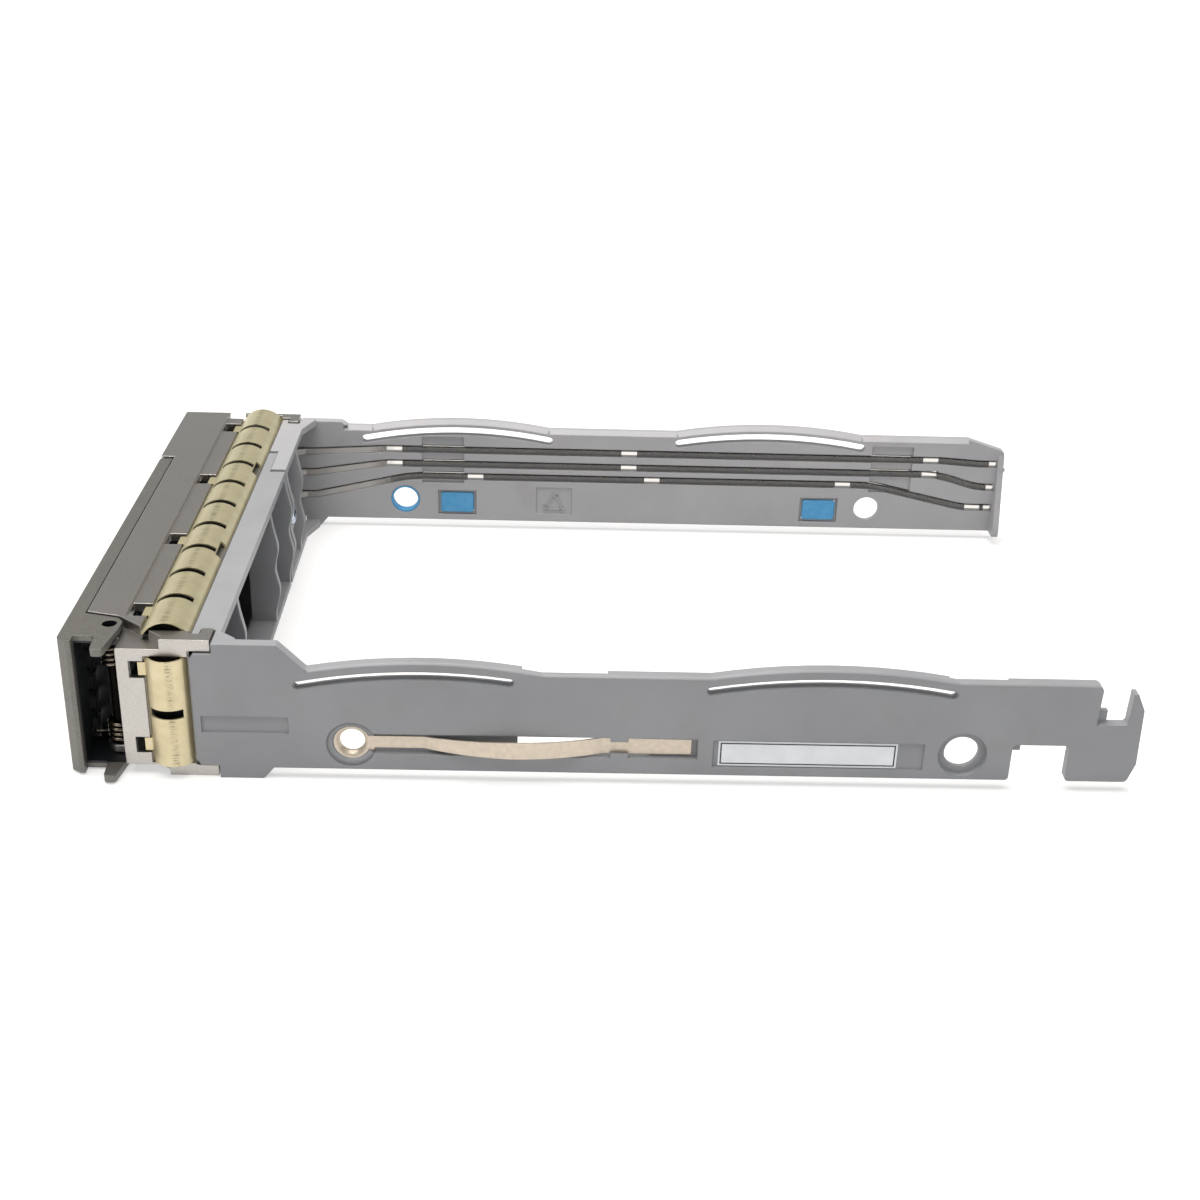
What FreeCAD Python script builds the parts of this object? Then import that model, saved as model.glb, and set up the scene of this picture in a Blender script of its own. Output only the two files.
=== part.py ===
"""Hot-swap drive caddy: two moulded rails and a cross-member behind a die-cast, levered front.

Millimetres, +Z up, +X towards the back of the bay, rails along X. The origin is the middle of
the footprint, on the plane that the front block and the die-cast cage stand on. "Near" is the
-Y side, where the lever is hinged; "far" is the +Y side, where its latch is.
"""
import FreeCAD
import Part
import math
import os
from FreeCAD import Vector

# --- driving sizes -----------------------------------------------------------------------------
LENGTH = 177.6            # lever face to the heel of the rear hook
BAY_WIDTH = 101.8         # clear width between the rails, for a 101.6 mm wide drive
RAIL_WALL = 2.0
CAGE_HEIGHT = 25.4        # the die-cast cage, base plane to top plate
LEVER_DROP = 0.6          # lever shorter than the cage
FRAME_DROP = 0.4          # front block and cross-member lower than the cage's top
FIT_GAP = 0.3             # between pieces that are assembled by hand
SLIDE_GAP = 0.3           # between pieces that slide or turn past each other

# drive screw holes, to the standard side pattern of a 3.5 inch drive
HOLE_SPACING = 101.6
HOLE_SETBACK = 46.6       # lever face to the front hole
HOLE_HEIGHT = 6.8
NEAR_HOLE_RADIUS = 2.9
FAR_HOLE_RADIUS = 2.7
NEAR_SINK_RADIUS = 4.1
FAR_SINK_RADIUS = 3.8
HOLE_SINK_DEPTH = 1.1

# rails
RAIL_BOTTOM = 2.1
NEAR_RAIL_DROP = 4.5      # rail's top edge below the front block's top
FAR_RAIL_DROP = 1.6
FAR_BLOCK_DROP = 0.6      # far rail's block below the front block's top
ARCH_RISE = 1.8
NEAR_SLOT_DROP = 2.4      # arch slot's centre line below the arch
FAR_SLOT_DROP = 2.4
NEAR_SLOT_WIDTH = 1.5
FAR_SLOT_WIDTH = 1.9
BLOCK_END = 35.1          # lever face to the back of the tall front block
RAMP_RUN = 4.5
NEAR_FOOT_END = 31.9      # lever face to the end of the block's foot
FAR_FOOT_END = 27.7
FOOT_RAMP = 1.8
EDGE_RADIUS = 0.6
NEAR_CROWN = 0.35         # chamfer of the near rail's top, on its outer side
FAR_CROWN = 0.9           # chamfer of the far rail's top, on its inner side

# rear hook of the near rail
HOOK_NECK = 7.6           # from the end of the rail's web to the heel
HOOK_FLOOR = 13.0
HOOK_TIP_TOP = 18.9
HOOK_TIP_WIDTH = 2.6
HEEL_NOTCH = (21.2, 11.6)  # from the heel to each side of the notch under the rail
HEEL_NOTCH_TOP = 8.95

# cage and cross-member
CAGE_SETBACK = 2.7        # lever face to the cage behind the lever
CAGE_DEPTH = 20.7         # lever face to the back of the cage
CAGE_WALL = 1.3
CAGE_TOP_WALL = 2.0
CAGE_INSET = 0.6          # cage side to the rail's outer face
SHELF_SETBACK = 9.2       # lever face to the step down to the shelf
SHELF_DROP = 0.4
SHELF_NOTCH = 2.6         # depth of the notch in the cage's far wall beside the shelf
SEAT_SETBACK = 12.5       # lever face to the finger strip's seat
SEAT_DROP = 0.9
CROSS_DEPTH = 4.7
CROSS_SKIN = 1.4
HOOK_REACH = 3.7          # cage hooks past the cage's back edge
HOOK_WIDTH = 1.9
HOOK_RISE = 4.3           # across the caddy
HOOK_HEIGHT = 2.0
HOOK_ROOT = 2.3
RIB_WALL = 1.4
RIB_OFFSETS = (19.0, 55.0)     # near piece's ribs from the near rail's outer face
FAR_RIB_OFFSET = 17.3          # far piece's rib from the far rail's outer face
LAP_FRONT = 22.5          # end of the near piece's front leaf, from the far rail's outer face
LAP_REAR = 31.2           # end of the far piece's rear leaf
LAP_GAP = 1.2
LAP_SEAT_GAP = 0.02
LAP_WALL = 1.2
LAP_BOSS = 3.7            # radius of the screw boss
SCREW_OFFSET = 26.5       # from the far outer face
SCREW_HEIGHT = 13.6
SCREW_RADIUS = 1.2
SCREW_HEAD_RADIUS = 2.3
SCREW_HEAD_HEIGHT = 1.7
SCREW_HEAD_SINK = 1.1
SCREW_CLEARANCE = 0.15

# lever
LEVER_WALL = 2.4
LEVER_STOP = 27.1         # lever's free end from the far outer face
LEVER_EAR = 1.3
PIVOT_SETBACK = 7.2       # lever face to the pivot
PIVOT_OFFSET = 6.3        # pivot from the near outer face
PIVOT_HOLE = 1.2
PIN_CLEARANCE = 0.05
PIN_SINK = 0.9            # pin's ends below the ears' outer faces
EAR_RADIUS = 2.05
EAR_ROOT = 9.8            # lever ear's far edge from the near outer face
PRONG_REACH = 2.8         # cam prongs past the near outer face
LUG_WALL = 1.3

# finger strips
STRIP_SHEET = 0.25
STRIP_BULGE = 2.3
STRIP_FINGERS = 10
STRIP_SLIT = 1.6
STRIP_EDGES = (0.09, 0.85)     # where the slits start and end, as shares of a strip's width
STRIP_NOTCHES = (3.14, 7.0)    # middles of the top strip's rear notches, in fingers
TOP_STRIP_START = 4.0     # from the near outer face
SIDE_STRIP_HEIGHT = 19.6
SIDE_STRIP_FOOT = 2.5

# light pipes, top to bottom
PIPE = 1.2
PIPE_HEIGHTS = (18.35, 15.05, 12.2)      # along the rail
PIPE_FRONT_HEIGHTS = (17.4, 12.6, 7.4)   # at the indicator windows
PIPE_REAR_HEIGHTS = (17.8, 12.3, 7.5)    # at the rear end
PIPE_INSET = 5.2                         # windows from the cage's far side

# latch and release button
TRAVEL = 2.0              # of the button, and of the latch that it wedges aside
BUTTON_WIDTH = 8.0
BUTTON_HEIGHT = 13.0
BUTTON_OFFSET = 21.6      # near edge of the button from the far outer face
BEZEL_WALL = 1.8
BEZEL_SIDE_WALL = 1.2
BUTTON_RIM = 1.0
BUTTON_RIM_WALL = 0.8
LATCH_WALL = 2.0
LATCH_HALF = 3.0          # half height of the latch and of the lever's catch
LATCH_END = 15.4          # far end of the latch from the far outer face
LATCH_BACKOFF = 0.25      # latch nose short of the lever's lip
LIP_WALL = 1.5
POST_HALF = 1.8           # half height of the button's wedge
WEDGE_GAP = 0.07
LATCH_SPRING_RADIUS = 1.0
LATCH_SPRING_WIRE = 0.4
LATCH_SPRING_TURNS = 6
LATCH_SPRING_LENGTH = 5.5

# --- derived places ----------------------------------------------------------------------------
X_FRONT = -LENGTH / 2
X_REAR = LENGTH / 2
X_HOLE = X_FRONT + HOLE_SETBACK
Y_IN = BAY_WIDTH / 2
Y_OUT = Y_IN + RAIL_WALL
X_CAGE = X_FRONT + CAGE_SETBACK
X_CAGE_BACK = X_FRONT + CAGE_DEPTH
X_FRAME = X_CAGE_BACK + FIT_GAP
X_CROSS_BACK = X_FRAME + CROSS_DEPTH
X_LEVER_BACK = X_FRONT + LEVER_WALL
Y_CAGE = Y_OUT - CAGE_INSET
FRAME_HEIGHT = CAGE_HEIGHT - FRAME_DROP
NEAR_RAIL_TOP = FRAME_HEIGHT - NEAR_RAIL_DROP
FAR_RAIL_TOP = FRAME_HEIGHT - FAR_RAIL_DROP
LEVER_HEIGHT = CAGE_HEIGHT - LEVER_DROP
Z_MID = CAGE_HEIGHT / 2
Z_LEVER = LEVER_DROP / 2 + 0.1
Z_LEVER_TOP = Z_LEVER + LEVER_HEIGHT


def near(offset):
    """World Y of a distance from the near rail's outer face."""
    return offset - Y_OUT


def far(offset):
    """World Y of a distance from the far rail's outer face."""
    return Y_OUT - offset


X_PIVOT = X_FRONT + PIVOT_SETBACK
Y_PIVOT = near(PIVOT_OFFSET)
Y_LEVER_END = far(LEVER_STOP)
Y_BEZEL = Y_LEVER_END + 0.7              # near edge of the fixed bezel
Y_WINDOW = Y_CAGE - PIPE_INSET           # indicator windows
Y_SCREW = far(SCREW_OFFSET)
Z_FLOOR_TOP = Z_LEVER_TOP - LEVER_EAR - SLIDE_GAP    # cage floors that the ears turn over
Z_FLOOR_LOW = Z_LEVER + LEVER_EAR + SLIDE_GAP
X_LAP = X_FRAME + 1.7                    # back of the lap joint's front leaf
X_SCREW_SEAT = X_CROSS_BACK - SCREW_HEAD_SINK
X_LATCH = X_FRONT + BEZEL_WALL + BUTTON_RIM_WALL + TRAVEL + 2 * SLIDE_GAP
X_LATCH_BACK = X_LATCH + LATCH_WALL
Y_LIP = Y_LEVER_END - 0.5
Y_NOSE = Y_LIP + LATCH_BACKOFF
Y_LATCH_END = far(LATCH_END)
Y_BUTTON = far(BUTTON_OFFSET)


# --- outline and solid helpers -------------------------------------------------------------------
def rounded_wire(corners, place):
    """Closed wire through (a, b) or (a, b, radius) corners; place() puts (a, b) in space."""
    arcs = []
    count = len(corners)
    for i, corner in enumerate(corners):
        here = Vector(corner[0], corner[1], 0)
        radius = corner[2] if len(corner) > 2 else 0
        if radius == 0:
            arcs.append((here, here, here))
            continue
        before = Vector(corners[i - 1][0], corners[i - 1][1], 0) - here
        after = Vector(corners[(i + 1) % count][0], corners[(i + 1) % count][1], 0) - here
        before.normalize()
        after.normalize()
        half = before.getAngle(after) / 2
        reach = radius / math.tan(half)
        bisector = before + after
        bisector.normalize()
        middle = here + bisector * (radius / math.sin(half) - radius)
        arcs.append((here + before * reach, middle, here + after * reach))
    edges = []
    for i, (start, middle, end) in enumerate(arcs):
        last = arcs[i - 1][2]
        if last.distanceToPoint(start) > 1e-6:
            edges.append(Part.LineSegment(place(last.x, last.y), place(start.x, start.y)).toShape())
        if start.distanceToPoint(end) > 1e-6:
            points = [place(p.x, p.y) for p in (start, middle, end)]
            edges.append(Part.Arc(*points).toShape())
    return Part.Wire(edges)


def side_plate(corners, y0, y1):
    """Plate whose outline lies in the XZ plane."""
    wire = rounded_wire(corners, lambda a, b: Vector(a, y0, b))
    return Part.Face(wire).extrude(Vector(0, y1 - y0, 0))


def plan_plate(corners, z0, z1):
    """Plate whose outline lies in the XY plane."""
    wire = rounded_wire(corners, lambda a, b: Vector(a, b, z0))
    return Part.Face(wire).extrude(Vector(0, 0, z1 - z0))


def front_plate(corners, x0, x1):
    """Plate whose outline lies in the YZ plane."""
    wire = rounded_wire(corners, lambda a, b: Vector(x0, a, b))
    return Part.Face(wire).extrude(Vector(x1 - x0, 0, 0))


def rounded_rectangle(a0, a1, b0, b1, radius):
    return [(a0, b0, radius), (a1, b0, radius), (a1, b1, radius), (a0, b1, radius)]


def box(x0, x1, y0, y1, z0, z1):
    return Part.makeBox(x1 - x0, y1 - y0, z1 - z0, Vector(x0, y0, z0))


def rod(radius, start, end):
    axis = end - start
    return Part.makeCylinder(radius, axis.Length, start, axis)


def bow(x0, x1, base, rise):
    """Middle, centre height and radius of the arc that rises over x0 to x1."""
    half = (x1 - x0) / 2
    radius = (half ** 2 + rise ** 2) / (2 * rise)
    return (x0 + x1) / 2, base + rise - radius, radius


def arc_band(x0, x1, mid, centre, radius, width, place):
    """Face of a band of even width with round ends, from x0 to x1 round (mid, centre)."""
    start = math.asin((x0 - mid) / radius)
    end = math.asin((x1 - mid) / radius)
    half = (start + end) / 2
    tip = width / 2 / radius

    def at(r, angle):
        return place(mid + r * math.sin(angle), centre + r * math.cos(angle))

    outer = radius + width / 2
    inner = radius - width / 2
    edges = [
        Part.Arc(at(outer, start), at(outer, half), at(outer, end)).toShape(),
        Part.Arc(at(outer, end), at(radius, end + tip), at(inner, end)).toShape(),
        Part.Arc(at(inner, end), at(inner, half), at(inner, start)).toShape(),
        Part.Arc(at(inner, start), at(radius, start - tip), at(outer, start)).toShape(),
    ]
    return Part.Face(Part.Wire(edges))


def wire_section(start, heading, wire):
    """Eight-sided section of a spring's wire, square to its heading."""
    across = heading.cross(Vector(0, 0, 1)).normalize()
    up = across.cross(heading).normalize()
    points = []
    for k in range(8):
        angle = math.radians(45 * k + 22.5)
        points.append(start + (across * math.cos(angle) + up * math.sin(angle)) * (wire / 2))
    return Part.makePolygon(points + [points[0]])


def coil(radius, wire, pitch, turns):
    """Wire wound up the Z axis, starting at (0, radius, 0) and heading for -X."""
    helix = Part.makeHelix(pitch, pitch * turns, radius)
    helix.rotate(Vector(0, 0, 0), Vector(0, 0, 1), 90)
    edge = helix.Edges[0]
    section = wire_section(edge.valueAt(edge.FirstParameter), edge.tangentAt(edge.FirstParameter), wire)
    return Part.Wire(helix.Edges).makePipeShell([section], True, True)


def wire_leg(start, end, wire):
    """Straight leg of a spring."""
    return Part.Face(wire_section(start, end - start, wire)).extrude(end - start)


def fuse_all(shapes):
    return shapes[0].multiFuse(shapes[1:]).removeSplitter()


def cut_all(solid, cutters):
    return solid.cut(Part.makeCompound(cutters)).removeSplitter()


# --- rails ---------------------------------------------------------------------------------------
# Setbacks from the lever face to each end of a feature along a rail.
ARCHES = ((39.8, 77.8), (105.6, 145.8))
NEAR_SLOTS = ((38.2, 72.6), (105.6, 145.4))
FAR_SLOTS = ((38.4, 77.8), (106.2, 145.8))
SPRING_CHANNEL_END = 103.9
SPRING_CHANNEL_Z = (5.05, 8.9)
SPRING_WINDOW = (74.0, 96.0)     # where the channel goes right through, behind the leaf's bow
SPRING_NUBS = (89.4, 92.4)
LABEL_SINK = (106.5, 141.7)
LABEL_SINK_Z = (3.65, 8.75)
LABEL_DEPTH = 0.4
LABEL_SHEET = 0.12
PLATE_SINK = (22.2, 36.4)        # bare recess on the front block
PLATE_SINK_Z = (8.6, 11.7)
THIN_EDGES = ((74.6, 88.6, 0.9), (144.7, 154.5, 0.5))     # start, end and depth
HOOK_TAB = (0.9, 2.3)            # tabs inside the hook's neck and the heel notch, thick and tall
RECYCLE_SINK = (75.3, 83.1)
RECYCLE_SINK_Z = (3.9, 10.1)
FLAT_BANDS = (50.4, 148.4)       # plain bands across the pipe grooves
FLAT_BAND_LENGTH = 9.0
FLAT_BAND_SINK = 0.6
SHALLOW = 0.25


def arches(top, y0, y1):
    """Segments of a circle that crown the rail's top edge."""
    crowns = []
    for start, end in ARCHES:
        x0 = X_FRONT + start
        x1 = X_FRONT + end
        crest = Vector((x0 + x1) / 2, y0, top + ARCH_RISE)
        arc = Part.Arc(Vector(x0, y0, top), crest, Vector(x1, y0, top)).toShape()
        chord = Part.LineSegment(Vector(x1, y0, top), Vector(x0, y0, top)).toShape()
        crowns.append(Part.Face(Part.Wire([arc, chord])).extrude(Vector(0, y1 - y0, 0)))
    return crowns


def crown_chamfers(top, y_face, size, x_start, x_end):
    """Wedges that chamfer one side of the rail's top, along its level runs and over its arches."""
    def wedge(height):
        return [(y_face - 0.1, height - size - 0.1), (y_face + size + 0.1, height + 0.1),
                (y_face - 0.1, height + 0.1)]

    ends = [x_start] + [X_FRONT + setback for arch in ARCHES for setback in arch] + [x_end]
    cutters = [front_plate(wedge(top), x0, x1) for x0, x1 in zip(ends[::2], ends[1::2])]
    for x0, x1 in zip(ends[1::2], ends[2::2]):
        mid, centre, radius = bow(x0, x1, top, ARCH_RISE)
        half = math.degrees(math.asin((x1 - x0) / 2 / radius))
        axis = Vector(mid, 0, centre)
        section = Part.Face(rounded_wire(wedge(top + ARCH_RISE), lambda a, b: Vector(mid, a, b)))
        section.rotate(axis, Vector(0, 1, 0), -half)
        cutters.append(section.revolve(axis, Vector(0, 1, 0), 2 * half))
    return cutters


def arch_slots(ends, top, drop, width, y0, y1):
    """Curved slots through the rail, each an even distance below its arch."""
    slots = []
    for slot, arch in zip(ends, ARCHES):
        mid, centre, radius = bow(X_FRONT + arch[0], X_FRONT + arch[1], top, ARCH_RISE)
        face = arc_band(X_FRONT + slot[0], X_FRONT + slot[1], mid, centre, radius - drop, width,
                        lambda a, b: Vector(a, y0 - 1, b))
        slots.append(face.extrude(Vector(0, y1 - y0 + 2, 0)))
    return slots


def block_corners(top, foot_end, block_top, block_end, ramp_run):
    """Tall front block of a rail, from its foot round the front to the rail's top edge."""
    x_hook = X_CAGE_BACK + HOOK_REACH + FIT_GAP
    z_low = HOOK_HEIGHT + FIT_GAP
    z_high = CAGE_HEIGHT - HOOK_HEIGHT - FIT_GAP
    return [
        (X_FRONT + foot_end + FOOT_RAMP, RAIL_BOTTOM),
        (X_FRONT + foot_end, 0),
        (x_hook, 0),
        (x_hook, z_low),
        (X_FRAME + 0.7, z_low),
        (X_FRAME, z_low + 1.2),
        (X_FRAME, z_high - 1.0),
        (X_FRAME + 0.7, z_high),
        (x_hook, z_high),
        (x_hook, block_top),
        (X_FRONT + block_end, block_top, EDGE_RADIUS),
        (X_FRONT + block_end + ramp_run, top, EDGE_RADIUS),
    ]


def screw_holes(radius, sink_radius, y_face, inward):
    """Counterbored drive screw holes, sunk from the rail's outer face."""
    cutters = []
    for x in (X_HOLE, X_HOLE + HOLE_SPACING):
        start = Vector(x, y_face - inward, HOLE_HEIGHT)
        through = Vector(x, y_face + inward * (RAIL_WALL + 1), HOLE_HEIGHT)
        floor = Vector(x, y_face + inward * HOLE_SINK_DEPTH, HOLE_HEIGHT)
        cutters.append(rod(radius, start, through))
        cutters.append(rod(sink_radius, start, floor))
    return cutters


def hook_corners():
    """Rear end of the near rail: the upturned hook and the notch under it."""
    x_web = X_REAR - HOOK_NECK
    x_tip = X_REAR - HOOK_TIP_WIDTH
    x_notch = X_REAR - HEEL_NOTCH[0]
    x_heel = X_REAR - HEEL_NOTCH[1]
    return [
        (x_web, NEAR_RAIL_TOP, 1.2),
        (x_web - 0.2, HOOK_FLOOR),
        (x_tip, HOOK_FLOOR, 0.6),
        (x_tip + 0.2, HOOK_TIP_TOP),
        (x_tip + 0.9, HOOK_TIP_TOP),
        (X_REAR - 0.3, HOOK_TIP_TOP - 3.0, 0.5),
        (X_REAR, RAIL_BOTTOM + 3.5, 0.5),
        (X_REAR - 1.2, RAIL_BOTTOM, 0.8),
        (x_heel, RAIL_BOTTOM, EDGE_RADIUS),
        (x_heel, HEEL_NOTCH_TOP, 1.0),
        (x_notch, HEEL_NOTCH_TOP, 1.0),
        (x_notch, RAIL_BOTTOM, EDGE_RADIUS),
    ]


def near_rail():
    """Near rail: front block, arched top edge, slots, sinks and the rear hook."""
    y0 = -Y_OUT
    y1 = -Y_IN
    outline = block_corners(NEAR_RAIL_TOP, NEAR_FOOT_END, FRAME_HEIGHT, BLOCK_END, RAMP_RUN)
    rail = fuse_all([side_plate(outline + hook_corners(), y0, y1)] + arches(NEAR_RAIL_TOP, y0, y1))
    cutters = arch_slots(NEAR_SLOTS, NEAR_RAIL_TOP, NEAR_SLOT_DROP, NEAR_SLOT_WIDTH, y0, y1)
    cutters += crown_chamfers(NEAR_RAIL_TOP, y0, NEAR_CROWN, X_FRONT + BLOCK_END + RAMP_RUN,
                              X_REAR - HOOK_NECK + 1)
    cutters += screw_holes(NEAR_HOLE_RADIUS, NEAR_SINK_RADIUS, y0, 1)
    cutters.append(box(X_FRONT + SPRING_WINDOW[0], X_FRONT + SPRING_WINDOW[1], y0 - 1, y1 + 1,
                       *SPRING_CHANNEL_Z))
    cutters.append(box(X_HOLE, X_FRONT + SPRING_CHANNEL_END, y0 - 1, y0 + HOLE_SINK_DEPTH,
                       *SPRING_CHANNEL_Z))
    for ends, heights in ((LABEL_SINK, LABEL_SINK_Z), (PLATE_SINK, PLATE_SINK_Z)):
        cutters.append(box(X_FRONT + ends[0], X_FRONT + ends[1], y0 - 1, y0 + LABEL_DEPTH, *heights))
    for start, end, depth in THIN_EDGES:
        cutters.append(box(X_FRONT + start, X_FRONT + end, y1 - depth, y1 + 1, NEAR_RAIL_TOP - 1.6,
                           NEAR_RAIL_TOP + ARCH_RISE))
    rail = cut_all(rail, cutters)
    nubs = []
    for z0, z1 in ((SPRING_CHANNEL_Z[0] - 0.1, SPRING_CHANNEL_Z[0] + 0.75),
                   (SPRING_CHANNEL_Z[1] - 0.75, SPRING_CHANNEL_Z[1] + 0.1)):
        nubs.append(box(X_FRONT + SPRING_NUBS[0], X_FRONT + SPRING_NUBS[1], y0, y0 + 0.7, z0, z1))
    return fuse_all([rail] + nubs + hook_tabs(y1))


def hook_tabs(y_face):
    """Two small tabs on the rail's inner side: in the hook's neck and in the heel notch."""
    thick, tall = HOOK_TAB
    x_web = X_REAR - HOOK_NECK
    x_notch = X_REAR - HEEL_NOTCH[0]
    return [
        box(x_web - 0.5, x_web + 1.6, y_face - thick, y_face, HOOK_FLOOR - 0.5, HOOK_FLOOR + tall),
        box(x_notch - 0.5, x_notch + 1.6, y_face - thick, y_face, HEEL_NOTCH_TOP - 1.6,
            HEEL_NOTCH_TOP + 0.5)]


# --- far rail --------------------------------------------------------------------------------------
GROOVE_MARGINS = (0.1, 0.4)     # groove past the pipe, below and above
GROOVE_DEPTH = 1.35
PAD_ENDS = ((54.4, 61.5), (134.1, 141.2))
PAD_Z = (3.95, 8.45)
PAD_MARGIN = 0.6
STRAP_Z = (5.6, 8.0)             # strap that joins the damper's bush and pads
STRAP_SHEET = 0.7
BUSH_WALL = 0.45
WINDOW_LENGTH = 3.4
# Middles of the clip windows behind each pipe, and of the short one at its rear end.
WINDOWS = ((44.3, 95.4), (44.3, 95.4), (61.9, 100.6))    # middles, behind the lever face
REAR_WINDOWS = ((15.7,), (15.7,), (34.6, 5.3))           # middles, before the far rail's end
END_WINDOW = 2.1                 # from the rail's end
END_WINDOW_LENGTH = 1.5
PIPE_RISE = (15.8, 15.8, 21.3)           # from the turn to where each pipe runs level
PIPE_LEVEL_END = (13.3, 13.8, 28.8)      # end of its level run, before the far rail's end
PIPE_DROP_END = (5.3, 5.3, 7.8)          # end of its drop, before the far rail's end
PIPE_BENDS = (4.0, 25.0, 25.0, 20.0)     # radii from the front to the rear
X_PIPE_TURN = X_CROSS_BACK + 1.0         # where a pipe leaves its groove for the cage
X_FAR_END = X_REAR - 0.3
FLANGE_WALL = 1.3
FLANGE_REACH = 3.8                       # end flange past the far rail's inner face, at its foot
END_NUBS = (11.9, 17.0)                  # heights of the nubs on the rail's end
END_NUB = 0.3


def pipe_profile(index, x_start, below, above, x_end):
    """Side outline of one light pipe along the rail, or of its groove with margins."""
    front = PIPE_FRONT_HEIGHTS[index]
    level = PIPE_HEIGHTS[index]
    rear = PIPE_REAR_HEIGHTS[index]
    knots = [(X_PIPE_TURN + 0.5, front), (X_PIPE_TURN + PIPE_RISE[index], level),
             (X_FAR_END - PIPE_LEVEL_END[index], level), (X_FAR_END - PIPE_DROP_END[index], rear)]
    bends = [(x, z, radius) for (x, z), radius in zip(knots, PIPE_BENDS)]
    course = [(x_start, front, 0)] + bends + [(x_end, rear, 0)]
    upper = [(x, z + PIPE / 2 + above, radius) for x, z, radius in course]
    lower = [(x, z - PIPE / 2 - below, radius) for x, z, radius in reversed(course)]
    return upper + lower


def pipe_windows(index):
    """Windows through the rail behind one pipe, as tall as its groove."""
    below, above = GROOVE_MARGINS
    places = [(X_FRONT + middle, PIPE_HEIGHTS[index], WINDOW_LENGTH / 2) for middle in WINDOWS[index]]
    for middle in REAR_WINDOWS[index]:
        level = PIPE_HEIGHTS[index] if middle > PIPE_LEVEL_END[index] else PIPE_REAR_HEIGHTS[index]
        places.append((X_FAR_END - middle, level, WINDOW_LENGTH / 2))
    places.append((X_FAR_END - END_WINDOW, PIPE_REAR_HEIGHTS[index], END_WINDOW_LENGTH / 2))
    return [box(x - half, x + half, Y_IN, Y_OUT + 1, z - PIPE / 2 - below, z + PIPE / 2 + above)
            for x, z, half in places]


def end_flange():
    """Upright flange that turns in at the far rail's end and widens to its foot, with two nubs."""
    z_top = FAR_RAIL_TOP - 3.4
    corners = [
        (Y_IN + 0.5, z_top), (Y_IN - 0.2, z_top), (Y_IN - FLANGE_REACH, RAIL_BOTTOM + 1.8, 0.5),
        (Y_IN - FLANGE_REACH, RAIL_BOTTOM, 0.5), (Y_IN + 0.5, RAIL_BOTTOM)]
    nubs = [rod(END_NUB * 2, Vector(X_FAR_END - END_NUB, Y_IN - 1, z), Vector(X_FAR_END - END_NUB, Y_OUT, z))
            for z in END_NUBS]
    return [front_plate(corners, X_FAR_END - FLANGE_WALL, X_FAR_END)] + nubs


def far_rail():
    """Far rail, grooved inside for the three light pipes and pocketed for the damper."""
    y0 = Y_IN
    y1 = Y_OUT
    outline = block_corners(FAR_RAIL_TOP, FAR_FOOT_END, FRAME_HEIGHT - FAR_BLOCK_DROP,
                            BLOCK_END - 2.0, 1.5)
    outline += [
        (X_FAR_END - 8.0, FAR_RAIL_TOP),
        (X_FAR_END, FAR_RAIL_TOP - 2.6, 0.8),
        (X_FAR_END, RAIL_BOTTOM),
    ]
    rail = fuse_all([side_plate(outline, y0, y1)] + arches(FAR_RAIL_TOP, y0, y1))
    rail = cut_all(rail, crown_chamfers(FAR_RAIL_TOP, y0, FAR_CROWN, X_FRONT + BLOCK_END - 1.5,
                                        X_FAR_END - 8.0))
    rail = fuse_all([rail] + end_flange())
    cutters = arch_slots(FAR_SLOTS, FAR_RAIL_TOP, FAR_SLOT_DROP, FAR_SLOT_WIDTH, y0, y1)
    cutters += screw_holes(FAR_HOLE_RADIUS, FAR_SINK_RADIUS, y1, -1)
    cutters.append(rod(FAR_HOLE_RADIUS + BUSH_WALL, Vector(X_HOLE, y0 - 1, HOLE_HEIGHT),
                       Vector(X_HOLE, y1 + 1, HOLE_HEIGHT)))
    for index in range(3):
        profile = pipe_profile(index, X_FRAME - 1, *GROOVE_MARGINS, X_FAR_END - FLANGE_WALL)
        cutters.append(side_plate(profile, y0 - 1, y0 + GROOVE_DEPTH))
        cutters += pipe_windows(index)
    for start, end in PAD_ENDS:
        cutters.append(box(
            X_FRONT + start - PAD_MARGIN, X_FRONT + end + PAD_MARGIN, y0 - 1, y1 + 1,
            PAD_Z[0] - PAD_MARGIN, PAD_Z[1] + PAD_MARGIN))
    cutters.append(box(X_HOLE, X_FRONT + PAD_ENDS[1][0], y1 - STRAP_SHEET, y1 + 1, *STRAP_Z))
    for start in FLAT_BANDS:
        cutters.append(box(X_FRONT + start, X_FRONT + start + FLAT_BAND_LENGTH, y0 - 1,
                           y0 + FLAT_BAND_SINK, PIPE_HEIGHTS[2] - 1.5, FAR_RAIL_TOP - 2))
    cutters.append(box(X_FRONT + RECYCLE_SINK[0], X_FRONT + RECYCLE_SINK[1], y0 - 1, y0 + SHALLOW,
                       *RECYCLE_SINK_Z))
    return cut_all(rail, cutters)


# --- cross-member ----------------------------------------------------------------------------------
RIB_WAVES = (0.1, 1.2, 0.2, 1.2, 0.3)    # rib past the cross-member's back, from the foot up
RIB_BEND = 6.0


def cross_skins(y0, y1, x0, x1):
    """Top and bottom skins of the cross-member."""
    return [box(x0, x1, y0, y1, 0, CROSS_SKIN),
            box(x0, x1, y0, y1, FRAME_HEIGHT - CROSS_SKIN, FRAME_HEIGHT)]


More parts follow.
